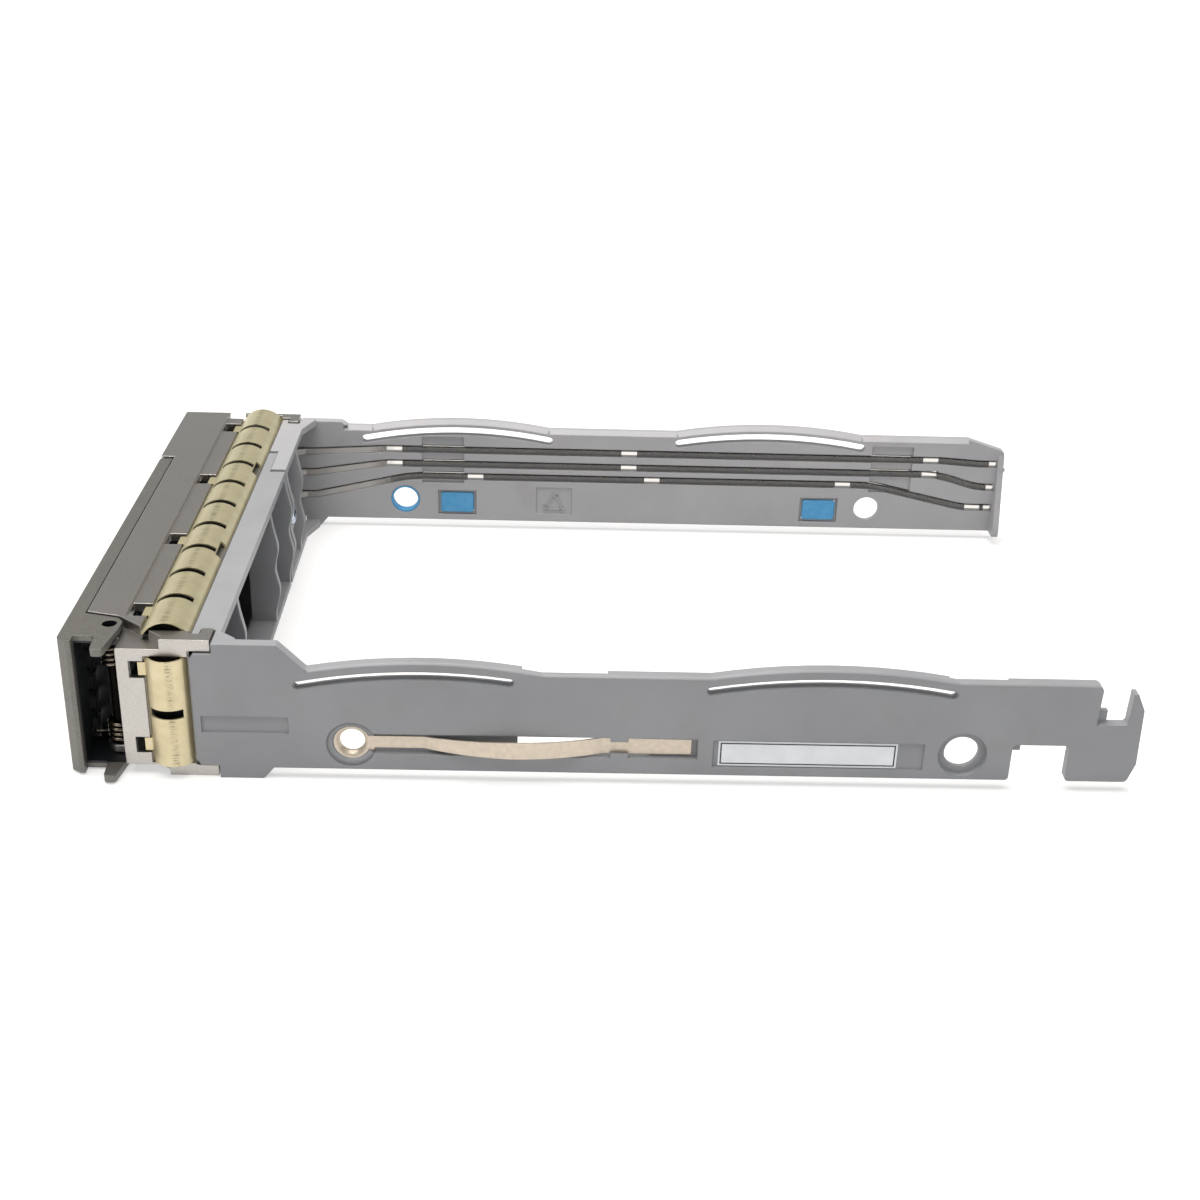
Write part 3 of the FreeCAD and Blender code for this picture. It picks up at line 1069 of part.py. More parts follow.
def damper_strip():
    """Elastomer moulding on the far rail: a bush in the front hole, a strap and two pads."""
    y0 = Y_IN + 0.05
    y1 = Y_OUT - 0.1
    y_floor = Y_OUT - HOLE_SINK_DEPTH
    centre = Vector(X_HOLE, y0, HOLE_HEIGHT)
    bush = rod(FAR_HOLE_RADIUS + BUSH_WALL, centre, Vector(X_HOLE, y1, HOLE_HEIGHT))
    flange = rod(FAR_SINK_RADIUS - 0.1, Vector(X_HOLE, y_floor, HOLE_HEIGHT),
                 Vector(X_HOLE, y1, HOLE_HEIGHT))
    strap = box(X_HOLE, X_FRONT + PAD_ENDS[1][0] + 1, Y_OUT - STRAP_SHEET, y1, STRAP_Z[0] + 0.1,
                STRAP_Z[1] - 0.1)
    pads = [side_plate(rounded_rectangle(X_FRONT + start, X_FRONT + end, *PAD_Z, 0.6), y0, y1)
            for start, end in PAD_ENDS]
    hole = rod(FAR_HOLE_RADIUS, Vector(X_HOLE, y0 - 1, HOLE_HEIGHT), Vector(X_HOLE, y1 + 1, HOLE_HEIGHT))
    return cut_all(fuse_all([bush, flange, strap] + pads), [hole])


def label_blank():
    """Blank label stuck in its recess on the near rail."""
    y = -Y_OUT + LABEL_DEPTH
    return box(X_FRONT + LABEL_SINK[0] + 0.9, X_FRONT + LABEL_SINK[1] - 4.4, y - LABEL_SHEET, y,
               LABEL_SINK_Z[0] + 0.2, LABEL_SINK_Z[1] - 0.2)


# --- export ----------------------------------------------------------------------------------------------
def main():
    pieces = {
        "frame_near": frame_near(),
        "frame_far": frame_far(),
        "joint_screw": joint_screw(),
        "front_cage": front_cage(),
        "lever": lever(),
        "pivot_pin": pivot_pin(),
        "torsion_spring_upper": torsion_spring(True),
        "torsion_spring_lower": torsion_spring(False),
        "release_button": release_button(),
        "latch": latch(),
        "latch_spring": latch_spring(),
        "finger_strip_top": finger_strip_top(),
        "finger_strip_near": finger_strip_side(-1),
        "finger_strip_far": finger_strip_side(1),
        "ground_spring": ground_spring(),
        "damper_strip": damper_strip(),
        "label_blank": label_blank(),
    }
    for index, name in enumerate(("upper", "middle", "lower")):
        pieces["light_pipe_" + name] = light_pipe(index)
    os.makedirs("parts", exist_ok=True)
    for name, shape in pieces.items():
        shape.exportStep("parts/" + name + ".step")
        print(name, len(shape.Solids), "solid(s)", round(shape.Volume, 1), "mm3", shape.isValid())


main()
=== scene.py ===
# %% [markdown]
# # A hot-swap drive caddy
# The CAD model gives every body of this caddy at its real size: two moulded rails, a die-cast
# cage with its hinged lever, and the sprung contacts. Here it gets the finish that its makers
# gave it: moulded plastic, flake paint on castings, beryllium copper, clear light pipes.
# The frame is loaded first and never changed, so each new piece is placed by reading it.

# %% Load the fixed frame
import math
import bmesh
import bpy
from mathutils import Matrix, Vector


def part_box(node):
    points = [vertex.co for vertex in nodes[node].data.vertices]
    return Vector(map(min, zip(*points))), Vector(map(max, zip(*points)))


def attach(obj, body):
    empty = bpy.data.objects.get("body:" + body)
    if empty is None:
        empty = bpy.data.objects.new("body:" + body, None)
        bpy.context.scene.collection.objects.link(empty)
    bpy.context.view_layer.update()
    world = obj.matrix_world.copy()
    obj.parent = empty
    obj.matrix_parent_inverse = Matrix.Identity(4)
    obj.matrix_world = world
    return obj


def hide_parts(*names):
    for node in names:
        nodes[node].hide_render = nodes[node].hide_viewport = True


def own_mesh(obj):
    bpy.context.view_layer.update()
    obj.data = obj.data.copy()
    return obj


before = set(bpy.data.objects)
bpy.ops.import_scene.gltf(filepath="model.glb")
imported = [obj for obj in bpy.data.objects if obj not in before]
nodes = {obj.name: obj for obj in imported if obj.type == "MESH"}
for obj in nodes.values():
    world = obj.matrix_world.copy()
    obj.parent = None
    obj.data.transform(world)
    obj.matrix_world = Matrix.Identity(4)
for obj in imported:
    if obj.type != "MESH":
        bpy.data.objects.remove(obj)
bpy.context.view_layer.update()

# %% [markdown]
# Everything is measured in metres, but a maker thinks of this part in millimetres. One constant
# keeps the sizes readable, and two small helpers read the middle and the size of a CAD node.

# %% Millimetres and node boxes
MM = 0.001


def middle(node):
    low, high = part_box(node)
    return (low + high) / 2


def size(node):
    low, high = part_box(node)
    return high - low


print("cage is", [round(v / MM, 1) for v in size("front_cage")], "mm")

# %% [markdown]
# A colour picker shows sRGB, and a shader works in linear light. One function turns a hex value
# from the first into the second, so that a colour can be written down as it is seen.

# %% From hex to linear colour
def linear(hex_colour):
    channels = [int(hex_colour[i:i + 2], 16) / 255 for i in (1, 3, 5)]
    return [c / 12.92 if c <= 0.04045 else ((c + 0.055) / 1.055) ** 2.4 for c in channels] + [1]


print("#808080 is", round(linear("#808080")[0], 3), "in linear light")

# %% [markdown]
# A material is a small graph. Each one here starts from a Principled shader with its constants
# on the sockets. One helper adds a node, sets its values and links its inputs, which is all
# that any of these graphs needs.

# %% Two material helpers
def new_material(name, **constants):
    material = bpy.data.materials.new(name)
    material.use_nodes = True
    shader = material.node_tree.nodes["Principled BSDF"]
    for socket, value in constants.items():
        shader.inputs[socket.replace("_", " ")].default_value = value
    return material, material.node_tree, shader


def add(tree, kind, settings=None, **inputs):
    node = tree.nodes.new(kind)
    for key, value in (settings or {}).items():
        setattr(node, key, value)
    for key, value in inputs.items():
        socket = node.inputs[int(key[1:]) if key[1:].isdigit() else key.replace("_", " ")]
        if isinstance(value, bpy.types.NodeSocket):
            tree.links.new(value, socket)
        else:
            socket.default_value = value
    return node


print("helpers ready")

# %% [markdown]
# Many of these finishes share two steps: a fleck or mottle that varies the colour between two
# values, and a rounded edge. A moulded or cast edge is never sharp: it has a radius of a few
# tenths of a millimetre that catches the light. The Bevel node rounds the shading there without
# touching the mesh, which suits a CAD node, because its own mesh must stay as it is.

# %% Colour ramps and rounded edges
def between(tree, factor, dark, light, low=0.0, high=1.0):
    ramp = add(tree, "ShaderNodeValToRGB", i0=factor)
    ramp.color_ramp.elements[0].position = low
    ramp.color_ramp.elements[0].color = linear(dark)
    ramp.color_ramp.elements[1].position = high
    ramp.color_ramp.elements[1].color = linear(light)
    return ramp.outputs[0]


def grain(tree, shader, height, depth_mm, edge_mm):
    rounded = add(tree, "ShaderNodeBevel", {"samples": 6}, i0=edge_mm * MM)
    bump = add(tree, "ShaderNodeBump", Strength=1.0, Distance=depth_mm * MM, Height=height,
               Normal=rounded.outputs[0])
    tree.links.new(bump.outputs[0], shader.inputs["Normal"])


print("edge rounding ready")

# %% [markdown]
# Some colours change at a place that the shape knows: the bottom of a groove and the inside of a
# casting are painted dark, as painted shade. A box in millimetres marks such a place. The point
# is measured from the middle of the box in half-sizes, so it lies inside where the largest of
# the three distances is under 1.

# %% Marks for places
def in_box(tree, place, low, high):
    centre, half = (low + high) / 2, (high - low) / 2
    greater = {"operation": "MAXIMUM"}
    local = add(tree, "ShaderNodeVectorMath", {"operation": "SUBTRACT"}, i0=place, i1=centre)
    share = add(tree, "ShaderNodeVectorMath", {"operation": "DIVIDE"}, i0=local.outputs[0], i1=half)
    share = add(tree, "ShaderNodeVectorMath", {"operation": "ABSOLUTE"}, i0=share.outputs[0])
    axes = add(tree, "ShaderNodeSeparateXYZ", i0=share.outputs[0]).outputs
    furthest = add(tree, "ShaderNodeMath", greater, i0=axes[0], i1=axes[1])
    furthest = add(tree, "ShaderNodeMath", greater, i0=furthest.outputs[0], i1=axes[2])
    inside = add(tree, "ShaderNodeMath", {"operation": "LESS_THAN"}, i0=furthest.outputs[0], i1=1.0)
    return inside.outputs[0]


def in_any_box(tree, place, boxes):
    marks = [in_box(tree, place, low, high) for low, high in boxes]
    mark = marks[0]
    for other in marks[1:]:
        mark = add(tree, "ShaderNodeMath", {"operation": "MAXIMUM"}, i0=mark, i1=other).outputs[0]
    return mark


def grown(node, *margins_mm):
    """The box of a CAD node with a margin in millimetres added on each axis."""
    low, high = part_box(node)
    margin = Vector(margins_mm) * MM
    return low - margin, high + margin


def mix(tree, factor, first, second):
    blend = add(tree, "ShaderNodeMix", {"data_type": "RGBA"}, i0=factor)
    for socket, value in ((blend.inputs[6], first), (blend.inputs[7], second)):
        if isinstance(value, str):
            socket.default_value = linear(value)
        else:
            tree.links.new(value, socket)
    return blend.outputs[2]


print("place marks ready")

# %% [markdown]
# ## Moulded rails
# The rails are a grey ABS and polycarbonate blend, moulded in a spark-eroded tool. That leaves
# an even, dull grain of about 0.35 mm, and the colour wanders a little where the melt flowed.
# A shallow noise bump gives the grain, and two broad noises give the mottle: a wide cool one,
# and a faint warm stain that comes from handling. The floors of the light pipes' deep, narrow
# grooves are painted near black as painted shade.

# %% Grey moulded plastic
SPARK_GRAIN, MELT_MOTTLE, HAND_STAIN = 0.35 * MM, 14 * MM, 9 * MM
HAZE_EDGE = -45.5 * MM      # in front of this the hazy pipes cover the grooves, so their floors get no painted shade
FLOOR_BAND = 0.75 * MM      # how far up from a groove's floor the painted shade reaches


def moulded_plastic(name, dark, light, shaded=()):
    material, tree, shader = new_material(name, Roughness=0.42, IOR=1.55)
    place = add(tree, "ShaderNodeTexCoord").outputs["Object"]
    mottle = add(tree, "ShaderNodeTexNoise", Vector=place, Scale=1 / MELT_MOTTLE, Detail=4.0)
    colour = between(tree, mottle.outputs[0], dark, light, 0.3, 0.7)
    handling = add(tree, "ShaderNodeTexNoise", Vector=place, Scale=1 / HAND_STAIN, Detail=5.0)
    stain = add(tree, "ShaderNodeMapRange", Value=handling.outputs[0], i1=0.58, i2=0.8,
                i3=0.0, i4=0.35)
    colour = mix(tree, stain.outputs[0], colour, "#8a8480")
    # Painted shade: inside the shaded boxes, which are the groove floors, the colour turns near
    # black.
    if shaded:
        colour = mix(tree, in_any_box(tree, place, shaded), colour, "#151413")
    tree.links.new(colour, shader.inputs["Base Color"])
    spark = add(tree, "ShaderNodeTexNoise", Vector=place, Scale=1 / SPARK_GRAIN, Detail=2.0)
    grain(tree, shader, spark.outputs[0], 0.012, 0.32)
    return material


pipes_low, pipes_high = grown("light_pipe_lower", 0, 0.1, 0.3)
pipes_high.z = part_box("light_pipe_upper")[1].z + 0.5 * MM
grooves = (Vector((HAZE_EDGE, pipes_high.y - FLOOR_BAND, pipes_low.z)), pipes_high)
# The near rail is given a darker grey than the far rail though both are the same plastic: painted
# shade on the near rail.
rail_plastic = moulded_plastic("abs_pc_moulded_grey", "#8f9195", "#989a9e")
far_rail_plastic = moulded_plastic("abs_pc_moulded_grey_grooved", "#a1a2a6", "#ababae", [grooves])
print("made", rail_plastic.name, "and", far_rail_plastic.name)

# %% [markdown]
# ## Castings
# The cage is die-cast and plated, then toned with a thin satin lacquer that holds fine aluminium
# flakes. It is a metal through and through, so most of its look is the room that it mirrors:
# dark where it faces up and back, bright where it faces the white floor. The flakes lie at
# slightly different tilts, so each one is a little lighter or darker than the next. Voronoi
# cells stand for them: real ones are under 0.1 mm, and here they are 0.16 mm so that they show.
# The lever has the same build in a darker tone that mirrors less.

# %% Flake lacquer
FLAKE, TONE_CLOUD, SKIN_RIPPLE = 0.16 * MM, 6 * MM, 0.5 * MM


def flake_lacquer(name, dark, light, metal, roughness, shaded):
    material, tree, shader = new_material(name, Roughness=roughness)
    place = add(tree, "ShaderNodeTexCoord").outputs["Object"]
    flakes = add(tree, "ShaderNodeTexVoronoi", Vector=place, Scale=1 / FLAKE)
    fleck = add(tree, "ShaderNodeSeparateColor", i0=flakes.outputs["Color"])
    cloud = add(tree, "ShaderNodeTexNoise", Vector=place, Scale=1 / TONE_CLOUD, Detail=3.0)
    tone = add(tree, "ShaderNodeMath", {"operation": "MULTIPLY_ADD"}, i0=cloud.outputs[0], i1=0.5,
               i2=fleck.outputs[0])
    colour = between(tree, tone.outputs[0], dark, light, 0.1, 1.3)
    # Painted shade: inside the shaded boxes the colour turns near black and the metal is taken
    # away.
    inside = in_any_box(tree, place, shaded)
    tree.links.new(mix(tree, inside, colour, "#16191d"), shader.inputs["Base Color"])
    plated = add(tree, "ShaderNodeMapRange", Value=inside, i3=metal, i4=0.0)
    tree.links.new(plated.outputs[0], shader.inputs["Metallic"])
    skin = add(tree, "ShaderNodeTexNoise", Vector=place, Scale=1 / SKIN_RIPPLE, Detail=3.0)
    grain(tree, shader, skin.outputs[0], 0.004, 0.25)
    return material


print("lacquer ready")

# %% [markdown]
# The cage's hollow, the seats under the finger strips, the back and the grille holes of the
# lever and the hole round the hinge pin are painted near black and not metallic: painted shade,
# where little light gets in. Their boxes are marked: each is the piece's own box drawn in by the
# wall, or the box of what lies over it. Round the hinge the hollow is open to the light, so there
# its box starts above the lower lug.

# %% Cage and lever finish
CAGE_WALL, TOP_SEAT = 1.2, 0.7 * MM
LUG_FLOOR, HINGE_CLEAR, END_WALL = 2.3 * MM, 1.5 * MM, 1.5 * MM
FACE_WALL = 0.4 * MM
cage_low, cage_high = grown("front_cage", -CAGE_WALL, -CAGE_WALL, -CAGE_WALL)
cage_high.z -= TOP_SEAT
hinge_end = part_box("pivot_pin")[1].y + HINGE_CLEAR
hinge_high = Vector((cage_high.x, hinge_end, cage_high.z))
cage_hollow = [(Vector((cage_low.x, hinge_end, cage_low.z)), cage_high),
               (cage_low + Vector((0, 0, LUG_FLOOR)), hinge_high)]
under_strips = [grown(name, -1.3, 0.1, 0.1) for name in
                ("finger_strip_top", "finger_strip_near", "finger_strip_far")]
lever_low, lever_high = grown("lever", 0, 0, -0.9)
inner_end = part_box("frame_near")[0].y + END_WALL
lever_back = (Vector((lever_low.x + FACE_WALL, inner_end, lever_low.z)),
              Vector((lever_high.x + MM, lever_high.y - END_WALL, lever_high.z)))
pivot_hole = grown("pivot_pin", 0.1, 0.1, 0.85)
cage_paint = flake_lacquer("satin_flake_lacquer_on_casting", "#afaca7", "#bdbab5", 1.0, 0.34,
                           cage_hollow + under_strips)
lever_paint = flake_lacquer("warm_flake_lacquer_on_casting", "#696864", "#7d7b76", 0.55, 0.4,
                            [lever_back, pivot_hole])
print("made", cage_paint.name, "and", lever_paint.name)

# %% [markdown]
# ## Spring contacts
# The finger strips are stamped from beryllium copper, 0.25 mm thick, with a thin satin plate of
# a cream gold. Each push into the bay drags the crest along the wall, which leaves a narrow
# line of short dark scratches along the crest of every finger. A noise stretched along the
# drag makes the scratches, and a band about the crest, whose place is a share of the strip's
# width, keeps them in their line.

# %% Plated beryllium copper
PLATE_CLOUD, SCRATCH, DRAG = 2.5 * MM, 0.22 * MM, (0.02, 1.0, 1.0)
CREST_CORE, CREST_EDGE = 0.2 * MM, 0.8 * MM


def plated_strip(name, dark, light, node, crest):
    material, tree, shader = new_material(name, Metallic=0.7, Roughness=0.36)
    place = add(tree, "ShaderNodeTexCoord").outputs["Object"]
    cloud = add(tree, "ShaderNodeTexNoise", Vector=place, Scale=1 / PLATE_CLOUD, Detail=4.0)
    colour = between(tree, cloud.outputs[0], dark, light, 0.3, 0.7)
    stretch = add(tree, "ShaderNodeMapping", Vector=place, Scale=DRAG)
    scratch = add(tree, "ShaderNodeTexNoise", Vector=stretch.outputs[0], Scale=1 / SCRATCH,
                  Detail=2.0)
    axes = add(tree, "ShaderNodeSeparateXYZ", i0=place)
    low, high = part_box(node)
    line = low.x + (high.x - low.x) * crest
    away = add(tree, "ShaderNodeMath", {"operation": "SUBTRACT"}, i0=axes.outputs[0], i1=line)
    away = add(tree, "ShaderNodeMath", {"operation": "ABSOLUTE"}, i0=away.outputs[0])
    near = add(tree, "ShaderNodeMapRange", Value=away.outputs[0], i1=CREST_CORE, i2=CREST_EDGE,
               i3=0.7, i4=0.0)
    deep = add(tree, "ShaderNodeMapRange", Value=scratch.outputs[0], i1=0.5, i2=0.7, i3=0.15)
    worn = add(tree, "ShaderNodeMath", {"operation": "MULTIPLY"}, i0=near.outputs[0],
               i1=deep.outputs[0])
    tree.links.new(mix(tree, worn.outputs[0], colour, "#5a5444"), shader.inputs["Base Color"])
    grain(tree, shader, cloud.outputs[0], 0.004, 0.06)
    return material


# The top strip is a little darker and more olive than the side strips though it is the same metal:
# painted shade on the strip that faces up.
strip_top_metal = plated_strip("beryllium_copper_plated_top", "#c8bf9a", "#d4cba7",
                               "finger_strip_top", 0.55)
strip_side_metal = plated_strip("beryllium_copper_plated_side", "#cfc19c", "#dbcfac",
                                "finger_strip_near", 0.66)
print("made", strip_top_metal.name, "and", strip_side_metal.name)

# %% [markdown]
# ## Sheet and wire
# The ground spring is a stamped leaf of nickel silver, tumbled to a soft matt beige. The hinge
# pin, the springs and the screw are steel. Drawn wire keeps a brown film of oil, the pin is
# blackened, and the screw is zinc plated, which gives it a cold blue cast. All four are plain
# metals whose colour clouds a little, so one function makes them.

# %% Steel and nickel silver
METAL_CLOUD = 0.9 * MM


def plain_metal(name, dark, light, roughness, metal=1.0):
    material, tree, shader = new_material(name, Metallic=metal, Roughness=roughness)
    place = add(tree, "ShaderNodeTexCoord").outputs["Object"]
    cloud = add(tree, "ShaderNodeTexNoise", Vector=place, Scale=1 / METAL_CLOUD, Detail=4.0)
    colour = between(tree, cloud.outputs[0], dark, light, 0.3, 0.7)
    tree.links.new(colour, shader.inputs["Base Color"])
    grain(tree, shader, cloud.outputs[0], 0.005, 0.08)
    return material


leaf_metal = plain_metal("nickel_silver_tumbled", "#cbbfae", "#d8ccba", 0.42, 0.6)
wire_steel = plain_metal("drawn_spring_steel", "#4c443c", "#8d8478", 0.26)
# The pin is blackened steel, and its near black is also painted shade for the dark hole that it
# sits in.
pin_steel = plain_metal("blackened_and_shaded_steel_pin", "#0c0b0b", "#191716", 0.5)
screw_steel = plain_metal("zinc_plated_screw", "#8fa0b4", "#d5dde6", 0.18)
print("made four plain metals")

# %% [markdown]
# ## Clear, blue and paper-like parts
# The light pipes are clear polycarbonate: light goes in at the back and comes out at the three
# windows. Their front ends are drafted and scuffed, so they turn hazy there; that hazy front also
# stands in as painted light for the bright sheen on those ends. The damper is blue silicone, soft
# and slightly see-through at its edges. The label is a matt silver polyester film, left blank but
# for its printed frame line.

# %% Light pipe, silicone
HAZE_AND_SHEEN_X, CLEAR_X = -50 * MM, -44 * MM
DUST_CLOUD = 1.6 * MM
pipe_clear, tree, shader = new_material(
    "clear_polycarbonate", IOR=1.585, Roughness=0.04, Specular_IOR_Level=0.3,
    Base_Color=linear("#dedbd7"))
place = add(tree, "ShaderNodeTexCoord").outputs["Object"]
along = add(tree, "ShaderNodeSeparateXYZ", i0=place)
# Painted light: towards the front ends less light passes through and the light base colour shows,
# both for hazy plastic and for the sheen on those ends.
haze_and_sheen = add(tree, "ShaderNodeMapRange", Value=along.outputs[0], i1=HAZE_AND_SHEEN_X, i2=CLEAR_X,
           i3=0.45, i4=1.0)
tree.links.new(haze_and_sheen.outputs[0], shader.inputs["Transmission Weight"])

silicone, tree, shader = new_material(
    "blue_silicone", Roughness=0.55, IOR=1.41, Subsurface_Weight=0.1, Subsurface_Scale=0.3 * MM)
place = add(tree, "ShaderNodeTexCoord").outputs["Object"]
dust = add(tree, "ShaderNodeTexNoise", Vector=place, Scale=1 / DUST_CLOUD, Detail=5.0)
blue = between(tree, dust.outputs[0], "#4c9acd", "#5fa8d8", 0.3, 0.75)
tree.links.new(blue, shader.inputs["Base Color"])
grain(tree, shader, dust.outputs[0], 0.006, 0.3)
print("made", pipe_clear.name, "and", silicone.name)

# %% [markdown]
# The label's frame line is printed 0.25 mm wide, 0.3 mm in from the edge. Two box marks draw
# it: the line is what lies in the larger and not in the smaller.

# %% Blank label with a printed frame line
LINE_INSET, LINE_WIDTH, FILM_CLOUD = 0.3, 0.25, 4 * MM
label_film, tree, shader = new_material("matt_silver_polyester", Roughness=0.38, Metallic=0.2)
place = add(tree, "ShaderNodeTexCoord").outputs["Object"]
outer = in_box(tree, place, *grown("label_blank", -LINE_INSET, 1, -LINE_INSET))
line_end = LINE_INSET + LINE_WIDTH
inner = in_box(tree, place, *grown("label_blank", -line_end, 1, -line_end))
line = add(tree, "ShaderNodeMath", {"operation": "SUBTRACT"}, i0=outer, i1=inner)
film = add(tree, "ShaderNodeTexNoise", Vector=place, Scale=1 / FILM_CLOUD, Detail=3.0)
paper = between(tree, film.outputs[0], "#dfe4e9", "#eaeef1", 0.3, 0.7)
tree.links.new(mix(tree, line.outputs[0], paper, "#2b2e33"), shader.inputs["Base Color"])
grain(tree, shader, film.outputs[0], 0.002, 0.05)
print("label is", [round(v / MM, 1) for v in size("label_blank")], "mm")

# %% [markdown]
# ## Dress the CAD nodes
# Each CAD body already has its real shape, so it keeps it and only takes its finish. Its object
# holds one material, and the table says which node wears which.

# %% Put each finish on its node
finishes = {
    "frame_near": rail_plastic, "frame_far": far_rail_plastic, "front_cage": cage_paint,
    "lever": lever_paint, "joint_screw": screw_steel, "pivot_pin": pin_steel,
    "finger_strip_top": strip_top_metal, "finger_strip_near": strip_side_metal,
    "finger_strip_far": strip_side_metal, "ground_spring": leaf_metal,
    "damper_strip": silicone, "label_blank": label_film,
    "light_pipe_upper": pipe_clear, "light_pipe_middle": pipe_clear, "light_pipe_lower": pipe_clear,
    "release_button": rail_plastic, "latch": rail_plastic,
}
for name, material in finishes.items():
    nodes[name].data.materials.clear()
    nodes[name].data.materials.append(material)
print("dressed", len(finishes), "nodes")

# %% [markdown]
# ## Springs
# The CAD springs have eight flats on their wire to stay light. In the real ones the wire is
# round, so these are wound again: a circle of wire is spun round the axis while it climbs, which
# is what a spring coiler does. Spin is the tool for it, since it turns and lifts in one call.

# %% A helper that finishes a mesh
def points_of(geometry):
    return [g for g in geometry if isinstance(g, bmesh.types.BMVert)]


def edges_of(geometry):
    return [g for g in geometry if isinstance(g, bmesh.types.BMEdge)]


def close_ends(mesh):
    bmesh.ops.holes_fill(mesh, edges=[e for e in mesh.edges if e.is_boundary], sides=0)


def finish_piece(name, mesh, material, body, stands_for=(), smooth=True):
    bmesh.ops.remove_doubles(mesh, verts=mesh.verts, dist=0.002 * MM)
    bmesh.ops.recalc_face_normals(mesh, faces=mesh.faces)
    for face in mesh.faces:
        face.smooth = smooth
    data = bpy.data.meshes.new(name)
    mesh.to_mesh(data)
    mesh.free()
    data.materials.append(material)
    piece = bpy.data.objects.new(name, data)
    bpy.context.scene.collection.objects.link(piece)
    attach(piece, body)
    if stands_for:
        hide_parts(*stands_for)
    print(name, len(data.polygons), "faces")
    return piece


# %% Wind a coil with two legs
def wire_ring(mesh, centre, heading, radius, sides=12):
    turn = heading.to_track_quat("Z", "Y").to_matrix().to_4x4()
    made = bmesh.ops.create_circle(mesh, segments=sides, radius=radius,
                                   matrix=Matrix.Translation(centre) @ turn)
    return list({edge for vert in made["verts"] for edge in vert.link_edges})


def run_on(mesh, edges, step):
    """Draws the ring on by a straight step and returns its new edges."""
    made = bmesh.ops.extrude_edge_only(mesh, edges=edges)["geom"]
    bmesh.ops.translate(mesh, verts=points_of(made), vec=step)
    return [edge for edge in edges_of(made) if all(v in made for v in edge.verts)]


print("spring helpers ready")

# %% [markdown]
# Each torsion spring sits round the hinge pin, with one leg along the cage and one against the
# back of the lever. The upper one and the lower one are mirror images about the middle height.

# %% Torsion springs
pin = middle("pivot_pin")
wire, coil_radius = 0.35 * MM, 1.7 * MM
turns, steps = 4, 30
for name, way in (("torsion_spring_upper", 1), ("torsion_spring_lower", -1)):
    low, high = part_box(name)
    start_z = low.z + wire if way > 0 else high.z - wire
    rise = (high.z - low.z) - 2 * wire
    mesh = bmesh.new()
    start = Vector((high.x, pin.y + coil_radius, start_z))
    edges = wire_ring(mesh, start, Vector((-1, 0, 0)), wire)
    edges = run_on(mesh, edges, Vector((pin.x - high.x, 0, 0)))
    made = bmesh.ops.spin(mesh, geom=edges, cent=(pin.x, pin.y, 0), axis=(0, 0, 1),
                          dvec=(0, 0, way * rise / (turns * steps)), angle=math.tau * turns,
                          steps=turns * steps, use_merge=False)
    run_on(mesh, edges_of(made["geom_last"]), Vector((low.x - pin.x, 0, 0)))
    close_ends(mesh)
    finish_piece(name + "_wire", mesh, wire_steel, "caddy", [name])

# %% [markdown]
# The latch spring is a small compression spring behind the bezel. It shortens as the latch
# slides.

# %% Latch spring
low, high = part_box("latch_spring")
axis_x, axis_z = (low.x + high.x) / 2, (low.z + high.z) / 2
wire = 0.2 * MM
outer = (high.x - low.x) / 2
mesh = bmesh.new()
turns, steps = 6, 24
start = Vector((axis_x + outer - wire, low.y + wire, axis_z))
edges = wire_ring(mesh, start, Vector((0, 0, 1)), wire, 10)
bmesh.ops.spin(mesh, geom=edges, cent=(axis_x, 0, axis_z), axis=(0, 1, 0),
               dvec=(0, (high.y - low.y - 2 * wire) / (turns * steps), 0), angle=math.tau * turns,
               steps=turns * steps, use_merge=False)
close_ends(mesh)
spring = finish_piece("latch_spring_wire", mesh, wire_steel, "caddy", ["latch_spring"])
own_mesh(spring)

# %% [markdown]
# ## Small formed parts
# The ground spring is held by an eyelet: a short tube of the same metal, pressed through its
# ring and flared over it. It narrows the hole to 4.1 mm and dishes the light. A few points
# across its wall, spun once round the hole, make it.

# %% Eyelet in the front screw hole
RING_RADIUS = 3.9 * MM          # of the ground spring's flat ring
EYELET_WALL = ((3.4, 0.84), (2.95, 0.74), (2.45, 1.0), (2.12, 1.5), (2.05, 1.95),
               (2.25, 1.95), (2.32, 1.55), (2.6, 1.2), (3.0, 0.95), (3.4, 0.9))
leaf_low, leaf_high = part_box("ground_spring")
rail_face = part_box("frame_near")[0].y
hole = Vector((leaf_low.x + RING_RADIUS, rail_face, (leaf_low.z + leaf_high.z) / 2))


def wall_section(mesh, section):
    """A closed loop of points, given as radius and depth in millimetres about the hole."""
    rim = [mesh.verts.new(hole + Vector((radius * MM, depth * MM, 0))) for radius, depth in section]
    return rim, [mesh.edges.new((rim[i - 1], rim[i])) for i in range(len(rim))]


mesh = bmesh.new()
rim, wall = wall_section(mesh, EYELET_WALL)
bmesh.ops.spin(mesh, geom=rim + wall, cent=hole, axis=(0, 1, 0), dvec=(0, 0, 0),
               angle=math.tau, steps=48, use_merge=False)
finish_piece("ground_spring_eyelet", mesh, leaf_metal, "caddy")

# %% [markdown]
# The plastic closes over the spring's ring as a cone, so that only the eyelet stays bright. The
# leaf leaves through a gap on its rear side. The cone's wall is spun like the eyelet's, but it
# starts and stops short of that gap, and each of its two ends is filled.

